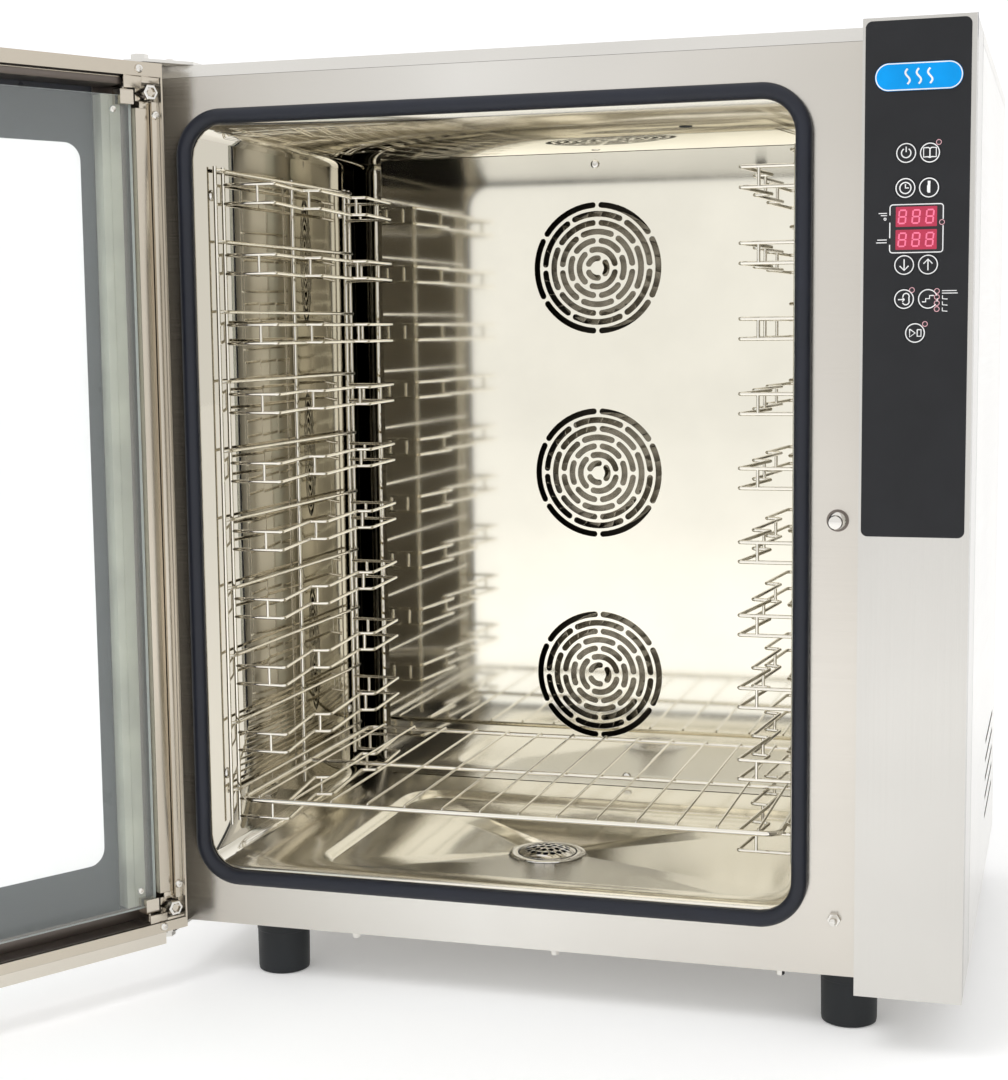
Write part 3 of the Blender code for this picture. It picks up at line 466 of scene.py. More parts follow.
def add_turned(bm, centre, profile, axis="Z", steps=40):
    """Adds a profile of (radius, height) points spun about the axis through centre."""
    made = bmesh.new()
    ring = [made.verts.new((radius, 0.0, height)) for radius, height in profile]
    for first, second in zip(ring, ring[1:] + ring[:1]):
        made.edges.new((first, second))
    geom = made.verts[:] + made.edges[:]
    about = {"cent": (0, 0, 0), "axis": (0, 0, 1), "angle": math.tau}
    bmesh.ops.spin(made, geom=geom, steps=steps, use_merge=True, **about)
    bmesh.ops.remove_doubles(made, verts=made.verts, dist=1e-6)
    bmesh.ops.transform(made, matrix=Matrix.Translation(Vector(centre)) @ along(axis), verts=made.verts)
    merge(bm, made)


def turned(name, centre, profile, axis="Z", steps=48, smooth=35.0):
    bm = bmesh.new()
    add_turned(bm, centre, profile, axis, steps)
    return mesh_piece(name, bm, smooth)


def block(low, high):
    made = bmesh.new()
    bmesh.ops.create_cube(made, size=1.0)
    bmesh.ops.scale(made, vec=Vector(high) - Vector(low), verts=made.verts)
    bmesh.ops.translate(made, vec=(Vector(low) + Vector(high)) / 2, verts=made.verts)
    return made


def add_box(bm, low, high, edge):
    """Adds a box with rounded edges."""
    made = block(low, high)
    if edge:
        bmesh.ops.bevel(made, geom=made.edges[:], offset=edge, segments=2, profile=0.5, affect="EDGES")
    merge(bm, made)


def boxes(name, corners, edge):
    bm = bmesh.new()
    for low, high in corners:
        add_box(bm, low, high, edge)
    return mesh_piece(name, bm)


def screws(name, places, axis, radius, out=-1.0):
    """Pan heads with a socket, standing out of a face. out is the sign along the axis."""
    height = radius * 0.62
    profile = [
        (0, 0), (radius, 0.0), (radius, height * 0.25), (radius * 0.8, height * 0.8),
        (radius * 0.45, height), (radius * 0.38, height * 0.98), (radius * 0.34, height * 0.35),
        (0, height * 0.3),
    ]
    bm = bmesh.new()
    for place in places:
        add_turned(bm, place, [(r, h * out) for r, h in profile], axis, 20)
    return mesh_piece(name, bm)


def show(obj, material, nodes=(), body="cabinet", place=OVEN):
    """Puts a finished piece in its place, on its body and in its finish.

    A turned piece has the turn in its mesh, so that its box stays tight round it.
    """
    if place is OVEN:
        obj.matrix_world = place
    else:
        obj.data.transform(place)
    obj.data.materials.clear()
    obj.data.materials.append(material)
    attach(obj, body)
    if nodes:
        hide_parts(*nodes)


def show_on_door(obj, material, nodes=(), body="door"):
    show(obj, material, nodes, body, DOOR)


# ------------ CAD nodes that stay
def finish_frame_nodes():
    shade_hinge_side(front_steel, "front_frame")
    inward = TURN.to_3x3() @ Vector((0, 1, 0))
    # The door frame's inward faces take a darker, warmer tone: painted shade.
    shade_inner_side(door_shell, inward, (0.6, 0.54, 0.45))
    finishes = {
        front_steel: ("front_frame",),
        door_shell: ("door_frame",),
        steel: ("left_side_panel", "right_side_panel", "back_panel", "base_tray"),
        steel_top: ("top_cover", "hinge_bracket_top", "hinge_bracket_bottom"),
        steel_upright: ("control_column", "glass_bracket_top", "glass_bracket_bottom"),
        rail_steel: ("glass_clamp_top", "glass_clamp_bottom"),
        bright: ("latch_bar", "steam_vent", "water_manifold"),
        sheath_and_shade: ("heater_ring_1", "heater_ring_2", "heater_ring_3"),
        motor: ("fan_motor_1", "fan_motor_2", "fan_motor_3"),
        plastic: ("drain_pipe", "cable_gland"),
        board: ("control_board",),
        wool: ("insulation_blanket",),
        brass: ("water_inlet_valve",),
        outer_pane: ("outer_glass",),
        pane: ("inner_glass",),
        rubber: ("door_gasket",),
        steel_lip: ("drip_gutter",),
    }
    for material, names in finishes.items():
        for name in names:
            data = frame["nodes"][name].data
            data.materials.clear()
            data.materials.append(material)


# ------------ cavity
def make_gasket():
    """The bulb seal round the opening, with its flat fixing tongue behind."""
    low, high = box_of("door_gasket")
    radius = (high.y - low.y) / 2
    left, right = low.x + radius, high.x - radius
    outline = rounded_rectangle(left, right, low.z + radius, high.z - radius, 0.041, 16)
    seal = wires("gasket_bulb", [[(x, low.y + radius, z) for x, z in outline]], radius, True, 7)
    show(seal, rubber, ["door_gasket"])
    inner = rounded_rectangle(low.x + 0.004, high.x - 0.004, low.z + 0.004, high.z - 0.004, 0.045, 12)
    hole = rounded_rectangle(CAVITY_LEFT + 0.0055, CAVITY_RIGHT - 0.0005, 0.1205, 0.9155, 0.036, 12)
    tongue = plate("gasket_tongue", [inner, hole], -0.0035, -0.0003, 0.0004)
    show(tongue, rubber)


def make_liner():
    """The cavity: coved edges, and a shallow well with sloping sides pressed into the floor."""
    low = (CAVITY_LEFT, LINER_LOW.y, CAVITY_BOTTOM)
    bm = block(low, (CAVITY_RIGHT, CAVITY_BACK, CAVITY_TOP))
    mouth = [face for face in bm.faces if face.normal.y < -0.9]
    bmesh.ops.delete(bm, geom=mouth, context="FACES")
    inner = [edge for edge in bm.edges if not edge.is_boundary]
    bmesh.ops.bevel(bm, geom=inner, offset=0.012, segments=6, profile=0.5, affect="EDGES")
    floor = [face for face in bm.faces if face.normal.z < -0.99 and face.calc_area() > 0.1]
    rim = {edge for face in floor for edge in face.edges}
    bmesh.ops.delete(bm, geom=floor, context="FACES_ONLY")
    rim = [edge for edge in rim if edge.is_valid]
    left, right, front, back = RECESS

    def ring(points, z):
        verts = [bm.verts.new((x, y, z)) for x, y in points]
        return [bm.edges.new((a, b)) for a, b in zip(verts, verts[1:] + verts[:1])]

    slope = ((0, 0), (0.004, 0.0012), (0.013, RECESS_DEPTH - 0.0006), (0.017, RECESS_DEPTH))
    rings = []
    for inset, drop in slope:
        sides = (left + inset, right - inset, front + inset, back - inset)
        rings.append(ring(rounded_rectangle(*sides, 0.05 - inset, 8), CAVITY_BOTTOM - drop))
    drain = middle_of("drain_strainer")
    hole = ring(circle(drain.x, drain.y, 0.026), CAVITY_BOTTOM - RECESS_DEPTH)
    for first, second in zip(rings, rings[1:]):
        bmesh.ops.bridge_loops(bm, edges=first + second)
    bmesh.ops.triangle_fill(bm, use_beauty=True, edges=rim + rings[0])
    bmesh.ops.triangle_fill(bm, use_beauty=True, edges=rings[-1] + hole)
    bmesh.ops.remove_doubles(bm, verts=bm.verts, dist=1e-6)
    liner = mesh_piece("cavity_shell", bm, 30.0)
    thick = liner.modifiers.new("sheet", "SOLIDIFY")
    thick.thickness = 0.0015
    thick.offset = 1.0
    show(liner, mirror, ["cavity_liner"])


def make_ceiling_fittings():
    """The probe hole in the ceiling, and the knobs that hold the baffle."""
    port = [(0, -0.0004), (0.0045, -0.0004), (0.0065, -0.0012), (0.0075, -0.0002), (0, 0)]
    probe = turned("ceiling_port", (0.109, 0.211, CAVITY_TOP), port)
    show(probe, plastic)
    knobs = [(-0.055, BAFFLE_LOW.y - 0.0002, 0.9005), (-0.018, BAFFLE_LOW.y - 0.0002, 0.1345)]
    show(screws("baffle_knobs", knobs, "Y", 0.0055), bright)


def slot_outline(x, z, radius, start, end, half):
    """A long slot with round ends, bent along a circle."""

    def cap(angle, first):
        turn = math.radians(angle)
        middle = (x + radius * math.cos(turn), z + radius * math.sin(turn))
        return arc(*middle, half, angle + first, angle + first + 180, 6)[1:-1]

    outer = arc(x, z, radius + half, start, end, 10)
    inner = arc(x, z, radius - half, end, start, 10)
    return outer + cap(end, 0) + inner + cap(start, 180)


def make_slots(x, z):
    """The outlines of one suction grille: seven rings of slots."""
    half = 0.0035
    ligament = 0.0038
    slots = []
    for ring, offset in enumerate((60, 0, 30, 0, 30, 0, 30)):
        radius = 0.012 + 0.01085 * ring
        count = 3 if ring < 2 else 6
        turn = 360.0 / count
        trim = math.degrees((ligament / 2 + half) / radius)
        for index in range(count):
            start = offset + turn * index
            slots.append(slot_outline(x, z, radius, start + trim, start + turn - trim, half))
    return slots


def make_baffle():
    low, high = BAFFLE_LOW, BAFFLE_HIGH
    outlines = [rounded_rectangle(low.x, high.x, BAFFLE_BOTTOM, BAFFLE_TOP, 0.002, 3)]
    for fan in FAN_PLACES:
        outlines += make_slots(fan.x, fan.z)
    sheet = plate("baffle_sheet", outlines, low.y, high.y)
    show(sheet, baffle_steel, ["fan_baffle"])
    deep = high.y + 0.022
    edge = 0.0015
    lips = [
        ((x, high.y, BAFFLE_BOTTOM), (x + edge, deep, BAFFLE_TOP)) for x in (low.x, high.x - edge)
    ]
    show(boxes("baffle_lips", lips, 0.0003), baffle_steel)


def make_fan_wheels():
    """Each wheel: a back plate, a hub with its nut, and many blades."""
    blades = 24
    lean = Matrix.Rotation(math.radians(28), 4, "Y")
    for index, fan in enumerate(FAN_PLACES, 1):
        name = f"fan_wheel_{index}"
        low, high = box_of(name)
        front = low.y
        disc_y = front + 0.038
        hub = [
            (0, front), (0.007, front), (0.008, front + 0.008), (0.013, front + 0.01),
            (0.014, disc_y), (0.0735, disc_y), (0.0735, disc_y + 0.0015),
            (0.012, disc_y + 0.0015), (0.006, disc_y + 0.01), (0.006, high.y), (0, high.y),
        ]
        bm = bmesh.new()
        add_turned(bm, (fan.x, 0.0, fan.z), hub, "Y")
        out = Matrix.Translation((0.0625, (front + disc_y) / 2, 0.0))
        vane_size = Vector((0.02, disc_y - front, 0.001))
        for blade in range(blades):
            vane = block(-vane_size / 2, vane_size / 2)
            turn = Matrix.Rotation(math.tau * blade / blades, 4, "Y")
            place = Matrix.Translation((fan.x, 0.0, fan.z)) @ turn @ out @ lean
            bmesh.ops.transform(vane, matrix=place, verts=vane.verts)
            merge(bm, vane)
        wheel = mesh_piece(f"fan_impeller_{index}", bm)
        show(wheel, wheel_steel_shaded, [name], f"fan_{index}")


def make_strainer():
    """The domed strainer over the drain, with rings of holes, on a turned-down rim."""
    middle = middle_of("drain_strainer")
    floor = CAVITY_BOTTOM - RECESS_DEPTH
    reach = 0.032
    outlines = [circle(middle.x, middle.y, reach, 56)]
    for radius, count in ((0, 1), (0.0078, 6), (0.0152, 12), (0.0225, 18)):
        for x, y in circle(middle.x, middle.y, radius, count):
            outlines.append(circle(x, y, 0.0031, 12))
    cap = plate("strainer_cap", outlines, floor + 0.0004, floor + 0.0014, 0.0002, True)
    for vert in cap.data.vertices:
        share = math.hypot(vert.co.x - middle.x, vert.co.y - middle.y) / reach
        vert.co.z += 0.008 * (1 - share * share)
    show(cap, bright, ["drain_strainer"])
    rim = [(0.0334, 0.001), (0.0345, 0.0016), (0.04, 0.0014), (0.0425, 0.0008)]
    rim += [(0.043, 0.0001), (0.0334, 0.0001)]
    sump = [(0, -0.02), (0.0255, -0.02), (0.0255, 0.0), (0.025, 0.0)]
    sump += [(0.025, -0.0195), (0, -0.0195)]
    groove = [(0.0322, 0.0003), (0.0332, 0.0003), (0.0332, 0.00005), (0.0322, 0.00005)]
    rings = (
        ("strainer_rim", rim, bright),
        ("drain_sump", sump, dark_void),
        ("strainer_groove", groove, dark_void),
    )
    for name, profile, material in rings:
        show(turned(name, (middle.x, middle.y, floor), profile), material)


def make_fan_chamber():
    """A near-black sheet on the cavity's rear wall behind the fans: painted shade, where little light gets
    behind the baffle.
    """
    low, high = BAFFLE_LOW, BAFFLE_HIGH
    lines = [rounded_rectangle(low.x, high.x, low.z, high.z, 0.006, 4)]
    lines += [circle(fan.x, fan.z, 0.01, 24) for fan in FAN_PLACES]
    back = plate("rear_shade_sheet", lines, CAVITY_BACK - 0.0016, CAVITY_BACK - 0.0004)
    show(back, rear_wall_shade)


# ------------ racks and shelf
LEVELS = 10
PITCH = 0.075
FIRST_RAIL = 0.1625
RAIL_SPACING = 0.02
GUIDE_RISE = 0.014
POST_U = 0.31
RAIL_ROUTE = (
    (POST_U, 0.064), (0.251, 0.064), (0.266, 0.177), (0.246, 0.181),
    (0.258, 0.306), (0.24, 0.31), (0.249, 0.418), (POST_U, 0.418),
)
TIES = ((0.27, 0.064), (0.2585, 0.179), (0.2515, 0.308), (0.266, 0.418), (0.289, 0.418))


def make_rack(name, side):
    """A side rack: ten pairs of zigzag rails tied together, guides behind them, and posts."""

    def at(u, y, z):
        return (MIDDLE + side * u, y, z)

    bottom = FIRST_RAIL - 0.0045
    top = FIRST_RAIL + PITCH * (LEVELS - 1) + 0.0385
    rails = []
    thin = []
    for level in range(LEVELS):
        low = FIRST_RAIL + PITCH * level
        high = low + RAIL_SPACING
        for z in (low, high):
            rails.append(rounded([at(u, y, z) for u, y in RAIL_ROUTE], 0.0035))
        guide = [(POST_U, 0.044), (0.3035, 0.052), (0.3035, 0.425), (POST_U, 0.433)]
        thin.append(rounded([at(u, y, high + GUIDE_RISE) for u, y in guide], 0.004))
        for u, y in TIES:
            thin.append([at(u, y, low - 0.001), at(u, y, high + 0.001)])
    posts = [[at(POST_U, y, bottom), at(POST_U, y, top)] for y in (0.044, 0.064, 0.251, 0.418, 0.433)]
    posts.append([at(POST_U, 0.044, top - 0.004), at(POST_U, 0.433, top - 0.004)])
    lines = [(rails, 0.002), (thin, 0.0018), (posts, 0.0023)]
    pieces = [wires(f"{name}_{index}", *line) for index, line in enumerate(lines)]
    node = "rack_left" if side < 0 else "rack_right"
    show(joined(name, pieces), wire, [node])
    wall = (CAVITY_LEFT if side < 0 else CAVITY_RIGHT) - 0.0002 * side
    hooks = [(wall, y, z) for z in (bottom + 0.055, top - 0.03) for y in (0.054, 0.4255)]
    show(screws(f"{name}_hooks", hooks, "X", 0.0062, -side), bright)


def make_shelf():
    low, high = box_of("wire_shelf")
    rod = 0.003
    z = low.z + rod
    left, right = low.x + rod, high.x - rod
    outline = rounded_rectangle(left, right, low.y + rod, high.y - rod, 0.016, 8)
    count = 14
    thin = []
    for index in range(count):
        x = left + (right - left) * (index + 0.5) / count
        front = [(x, low.y + 0.0022, z + 0.0012), (x, low.y + 0.0045, z + 0.004)]
        back = [(x, high.y - 0.0045, z + 0.004), (x, high.y - 0.0022, z + 0.0012)]
        thin.append(rounded(front + back, 0.002, 3))
    middle = (low.y + high.y) / 2
    pieces = (
        wires("shelf_frame", [[(x, y, z) for x, y in outline]], rod, True, 4),
        wires("shelf_thin", thin, 0.0015),
        wires("shelf_cross", [[(left, middle, z), (right, middle, z)]], 0.0025),
    )
    show(joined("shelf_grid", pieces), wire, ["wire_shelf"], "shelf")


# ------------ control panel
KEYS = ("power", "recipe", "clock", "probe", "down", "up", "steam", "phase", "start")


def strokes(name, lines, width, face=INK_FACE, cyclic=False):
    """Printed lines: round strokes pressed flat against the panel's face."""
    obj = wires(name, [[(x, 0.0, z) for x, z in line] for line in lines], width / 2, cyclic, 2)
    flat = 0.00016 / (width / 2)
    obj.data.transform(Matrix.Translation((0, face, 0)) @ Matrix.Diagonal((1, flat, 1, 1)))
    return obj


def key_icons(x, z):
    """The open strokes of each key's generic symbol, centred on the key."""
    unit = 0.001

    def line(*points):
        return [(x + px * unit, z + pz * unit) for px, pz in points]

    return {
        "power": [arc(x, z, 0.0042, 120, 420), line((0, 5.6), (0, 0.8))],
        "recipe": [
            line((0, 3.6), (-1.6, 4.6), (-5.6, 4.4), (-5.6, -3.8), (-1.6, -3.6), (0, -4.4)),
            line((0, 3.6), (1.6, 4.6), (5.6, 4.4), (5.6, -3.8), (1.6, -3.6), (0, -4.4)),
            line((0, 3.6), (0, -4.4)),
        ],
        "clock": [arc(x, z, 0.005, 0, 360), line((0, 3.4), (0, 0), (3.0, 0))],
        "probe": [line((0, 4.2), (0, -4.6)), line((-1.2, 4.8), (1.2, 4.8)), line((-0.6, 2), (-0.6, -3.8))],
        "down": [line((0, 5.2), (0, -4.8)), line((-4.0, -0.8), (0, -4.9), (4.0, -0.8))],
        "up": [line((0, -5.2), (0, 4.8)), line((-4.0, 0.8), (0, 4.9), (4.0, 0.8))],
        "steam": [
            arc(x + 0.0016, z - 0.0022, 0.003, 200, 380, 10)
            + arc(x + 0.0018, z + 0.0024, 0.0028, -20, 190, 10),
            line((-5.4, -0.4), (0.4, -0.4)),
            line((-1.6, 1.4), (0.4, -0.4), (-1.6, -2.2)),
        ],
        "phase": [line((-5.2, -2.6), (-2.0, -2.6), (-2.0, 0.2), (1.4, 0.2), (1.4, 3.0), (5.2, 3.0))],
        "start": [
            line((-4.8, 3.6), (-4.8, -3.6), (0.2, 0.0), (-4.8, 3.6)),
            line((2.0, 3.0), (5.4, 3.0), (5.4, -3.0), (2.0, -3.0), (2.0, 3.0)),
        ],
    }


def make_keys():
    for name in KEYS:
        key = f"key_{name}"
        low, high = box_of(key)
        x, z = middle_of(key).xz
        radius = (high.x - low.x) / 2
        face = low.y
        dome = [
            (0, high.y), (radius, high.y), (radius, face + 0.0003),
            (radius - 0.0003, face + 0.0001), (radius - 0.002, face), (0, face),
        ]
        disc = turned(f"key_cap_{name}", (x, 0, z), dome, "Y")
        show(disc, membrane, [key], key)
        ring = strokes(f"key_ring_{name}", [circle(x, z, radius - 0.0014, 48)], 0.001, face, True)
        show(ring, ink, (), key)
        width = 0.0024 if name == "probe" else 0.0011
        icon = strokes(f"key_icon_{name}", key_icons(x, z)[name], width, face)
        show(icon, ink, (), key)


LAMP_PLACES = (
    (0.3939, 0.8633), (0.3976, 0.7919), (0.3717, 0.7312), (0.394, 0.73),
    (0.394, 0.7246), (0.394, 0.7191), (0.394, 0.7137), (0.3837, 0.7003),
)


def seven_segments(x, z, width, height, slant):
    """The seven strokes of one digit, in place as thin bars."""
    w, h = width / 2, height / 2
    gap = 0.0005
    bars = [
        ((-w + gap, h), (w - gap, h)),
        ((-w + gap, 0), (w - gap, 0)),
        ((-w + gap, -h), (w - gap, -h)),
        ((-w, h - gap), (-w, gap)),
        ((w, h - gap), (w, gap)),
        ((-w, -gap), (-w, -h + gap)),
        ((w, -gap), (w, -h + gap)),
    ]
    return [[(x + px + slant * pz, z + pz) for px, pz in bar] for bar in bars]


def make_display():
    low, high = box_of("display_window")
    face = low.y
    outline = rounded_rectangle(low.x, high.x, low.z, high.z, 0.0015, 4)
    back = plate("display_bezel", [outline], face, high.y, 0.0002)
    show(back, lens_black, ["display_window"])
    start, reach = 0.3564, 0.0368
    glow = []
    figures = []
    for bottom, top in ((0.7884, 0.8065), (0.7678, 0.7858)):
        glow.append(rounded_rectangle(start, start + reach, bottom, top, 0.0006, 3))
        for index in range(3):
            x = start + reach * (index + 0.5) / 3 - 0.0002
            figures += seven_segments(x, (bottom + top) / 2, 0.0062, 0.0118, 0.09)
    lit = plate("display_glow", glow, face - 0.0002, face + 0.0004, 0.0001)
    show(lit, display)
    show(strokes("display_digits", figures, 0.0015, face - 0.00022), digits)
    left, right, bottom, top = 0.3512, 0.3986, 0.7652, 0.8084
    routes = (
        ((left, 0.799), (left, top), (right, top), (right, 0.7948)),
        ((right, 0.789), (right, bottom), (left, bottom), (left, 0.7725)),
        ((left, 0.7785), (left, 0.7925)),
    )
    lines = [[p.xy for p in rounded([(x, z, 0) for x, z in line], 0.003, 6)] for line in routes]
    show(strokes("display_frame", lines, 0.0011), ink)


def make_overlay():
    """The membrane with its printed marks: ring lamps, scale marks and small generic glyphs."""
    low, high = OVERLAY_LOW, OVERLAY_HIGH
    outlines = [rounded_rectangle(low.x, high.x, low.z, high.z, 0.006, 8)]
    for name in KEYS:
        left, right = box_of(f"key_{name}")
        middle = (left + right) / 2
        outlines.append(circle(middle.x, middle.z, (right.x - left.x) / 2 + 0.0002, 48))
    left, right = box_of("display_window")
    outlines.append(rounded_rectangle(left.x, right.x, left.z, right.z, 0.0014, 4))
    sheet = plate("overlay_membrane", outlines, low.y, high.y, 0.0002)
    show(sheet, membrane, ["control_overlay"])
    rings = [circle(x, z, 0.0022, 20) for x, z in LAMP_PLACES]
    lamp_rings = strokes("lamp_rings", rings, 0.0007, INK_FACE - 0.0001, True)
    show(lamp_rings, led_ink)
    dome = [(0, INK_FACE), (0.0017, INK_FACE), (0.0014, INK_FACE - 0.0003), (0, INK_FACE - 0.0004)]
    bm = bmesh.new()
    for x, z in LAMP_PLACES:
        add_turned(bm, (x, 0, z), dome, "Y", 16)
    show(mesh_piece("lamp_lenses", bm), lens_black)
    marks = [
        [(0.3985, 0.7302), (0.4115, 0.7302)],
        [(0.3985, 0.728), (0.4125, 0.728)],
        [(0.341, 0.801), (0.3485, 0.801)],
        [(0.343, 0.799), (0.3485, 0.799)],
        [(0.34, 0.777), (0.3485, 0.777)],
        [(0.339, 0.7745), (0.3485, 0.7745)],
        arc(0.3468, 0.7958, 0.001, 0, 360, 10),
    ]
    for z in (0.726, 0.7205, 0.715):
        marks.append([(0.399, z), (0.399, z - 0.003), (0.4035, z - 0.0034)])
    show(strokes("panel_marks", marks, 0.0008), ink)


def make_badge():
    """A plain enamelled plate with three rising steam lines."""
    low, high = box_of("badge_plate")
    x, z = middle_of("badge_plate").xz
    corner = (high.z - low.z) / 2 - 0.0001
    outline = rounded_rectangle(low.x, high.x, low.z, high.z, corner, 16)
    body = plate("badge_body", [outline], low.y, high.y, 0.0002)
    show(body, badge, ["badge_plate"])
    inset = 0.0008
    sides = (low.x + inset, high.x - inset, low.z + inset, high.z - inset)
    rim = rounded_rectangle(*sides, corner - inset, 16)
    show(strokes("badge_rim", [rim], 0.001, low.y, True), ink)
    steps = 16
    lines = []
    for offset in (-0.01, 0.0, 0.01):
        line = []
        for step in range(steps + 1):
            sway = 0.002 * math.sin(math.tau * step / steps)
            line.append((x + offset + sway, z - 0.0068 + 0.0136 * step / steps))
        lines.append(line)
    show(strokes("badge_steam", lines, 0.0018, low.y), ink)


# ------------ outside fittings
def make_feet():
    for name in ("foot_front_left", "foot_front_right", "foot_back_left", "foot_back_right"):
        low, high = box_of(name)
        radius = (high.x - low.x) / 2
        profile = [
            (0, 0), (radius - 0.004, 0.0), (radius - 0.0015, 0.0012),
            (radius - 0.001, 0.0045), (radius - 0.0005, 0.044), (radius - 0.0005, 0.0455),
            (radius, 0.0462), (radius, 0.0585), (radius - 0.001, 0.0597), (0, 0.0597),
        ]
        place = middle_of(name).xy.to_3d()
        foot = turned(f"{name}_moulding", place, profile, steps=64)
        show(foot, plastic, [name])


def make_striker():
    """The round-headed striker pin with a flat dark disc round it, painted shade for its hole, and the
    hexagonal stop bolt below it.
    """
    front = box_of("door_striker")[0].y
    middle = middle_of("door_striker")
    place = (middle.x, 0, middle.z)
    pin = [
        (0, front), (0.004, front + 0.0001), (0.0062, front + 0.0006), (0.007, front + 0.0016),
        (0.007, front + 0.0042), (0.0062, front + 0.0048), (0.0042, front + 0.0052),
        (0.004, front + 0.006), (0.004, -0.0052), (0.007, -0.0046), (0.0084, -0.0032),
        (0.0085, -0.0003), (0, -0.0003),
    ]
    show(turned("striker_pin", place, pin, "Y"), bright, ["door_striker"])
    # A flat dark disc behind the pin: painted shade for the hole.
    hole = [(0, -0.0002), (0.0108, -0.0002), (0.0108, 0.0004), (0, 0.0004)]
    show(turned("striker_hole_shade", place, hole, "Y"), sheath_and_shade)
    middle = middle_of("door_stop_bolt")
    place = (middle.x, 0, middle.z)
    tip = [(0, -0.015), (0.0022, -0.0148), (0.0036, -0.0138), (0.004, -0.012)]
    tip += [(0.004, -0.0055), (0, -0.0055)]
    nut = [(0, -0.006), (0.0066, -0.006), (0.007, -0.0054), (0.007, -0.0003), (0, -0.0003)]
    bm = bmesh.new()
    add_turned(bm, place, tip, "Y")
    add_turned(bm, place, nut, "Y", 6)
    show(mesh_piece("stop_bolt", bm), bright, ["door_stop_bolt"])


def make_body_screws():
    """Screws along the underside's front edge and on the back."""
    low_edge = box_of("front_frame")[0].z
    bm = bmesh.new()
    head = [(0, -0.0052), (0.004, -0.005), (0.0046, -0.0036), (0.0046, 0.0), (0, 0)]
    for x in (-0.208, 0.012, 0.246):
        add_turned(bm, (x, 0.0055, low_edge - 0.0002), head, "Z", 6)
    show(mesh_piece("screws_under", bm, 25.0), bright)
    back = [(x, BODY_HIGH.y, z) for x in (-0.405, -0.14, 0.14, 0.405) for z in (0.075, 0.945)]
    back += [(x, BODY_HIGH.y, z) for x in (-0.405, 0.405) for z in (0.365, 0.655)]
    show(screws("screws_back", back, "Y", 0.0042, 1.0), bright)


def make_column_seam():
    """The folded joint down the control column's right edge, with a clip at its top."""
    x = BODY_HIGH.x
    gaps = [
        ((x - 0.0004, y, 0.061), (x + 0.00005, y + wide, 0.975))
        for y, wide in ((-0.046, 0.0018), (-0.033, 0.0022), (COLUMN_BACK - 0.0012, 0.0016))
    ]
    show(boxes("column_gaps", gaps, 0.0), sheath_and_shade)
    clip = [((x - 0.0004, -0.0425, 0.956), (x + 0.00005, -0.0335, 0.978))]
    show(boxes("column_clip", clip, 0.0), motor)
    gap = [((COLUMN_LEFT - 0.0012, -0.0006, 0.061), (COLUMN_LEFT + 0.0002, 0.0002, 0.97))]
    show(boxes("column_left_gap", gap, 0.0), sheath_and_shade)


def make_hinge_screws():
    """Screws on the two hinge plates."""
    top = BODY_HIGH.z + 0.0033
    places = [(-0.392, -0.006, top), (-0.384, 0.018, top), (-0.38, 0.042, top), (-0.412, 0.046, top)]
    show(screws("hinge_screws_top", places, "Z", 0.0052, 1.0), bright)
    low = box_of("hinge_bracket_bottom")[0].z + 0.0058
    places = [(-0.4145, 0.018, low), (-0.4145, 0.044, low)]
    show(screws("hinge_screws_bottom", places, "Z", 0.0042, -1.0), bright)


# ------------ door
def make_glass_print():
    """The dark printed border on the inside of the outer pane."""
    outer = rounded_rectangle(-0.3652, 0.272, 0.0725, 0.9655, 0.002, 2)
    window = rounded_rectangle(-0.35, 0.235, 0.14, 0.893, 0.018, 8)
    border = plate("glass_border", [outer, window], -0.0446, -0.0442, 0.0001)
    show_on_door(border, print_black)


DOOR_FOLDS = (
    ("door_channel_pale", channel_grey, (
        ((-0.3885, -0.029, 0.0905), (-0.366, -0.028, 0.942)),
        ((-0.3758, -0.028, 0.0905), (-0.3752, -0.0272, 0.942)),
        ((-0.367, -0.043, 0.0905), (-0.366, -0.029, 0.942)),
    )),
    ("door_channel", door_steel_shaded, (
        ((-0.412, -0.0125, 0.1045), (-0.396, -0.011, 0.9285)),
        ((-0.3975, -0.03, 0.1045), (-0.396, -0.0125, 0.9285)),
        ((-0.412, -0.0125, 0.0972), (-0.4008, -0.011, 0.1045)),
        ((-0.412, -0.0125, 0.9285), (-0.4008, -0.011, 0.9352)),
        ((-0.4218, -0.0085, 0.0972), (-0.4128, -0.007, 0.9352)),
        ((-0.4143, -0.0125, 0.0972), (-0.4128, -0.0085, 0.9352)),
    )),
    # The channel's back and the two steps below it are drawn dark: painted shade in the recesses behind
    # the pane and under the rails.
    ("door_channel_back", sheath_and_shade, (((-0.4215, -0.044, 0.0775), (-0.366, -0.0432, 0.9525)),)),
    ("door_channel_seal", sheath_and_shade, (((-0.395, -0.029, 0.0905), (-0.3885, -0.028, 0.942)),)),
    ("door_top_step", sheath_and_shade, (
        ((-0.38, -0.0105, 0.9505), (0.288, -0.0092, 0.9612)),
        ((-0.38, -0.044, 0.9505), (0.288, -0.0092, 0.9515)),
    )),
    ("door_top_bead", rail_steel, (((-0.38, -0.0094, 0.9575), (0.288, -0.0085, 0.959)),)),
    ("door_lower_step", sheath_and_shade, (
        ((-0.399, -0.03, 0.075), (0.288, -0.0288, 0.091)),
        ((-0.399, -0.03, 0.0752), (0.288, -0.006, 0.076)),
    )),
)


def make_door_folds():
    """The folded uprights beside the inner pane, the step under the top rail, and the lower one."""
    for name, material, corners in DOOR_FOLDS:
        show_on_door(boxes(name, corners, 0.0003), material)


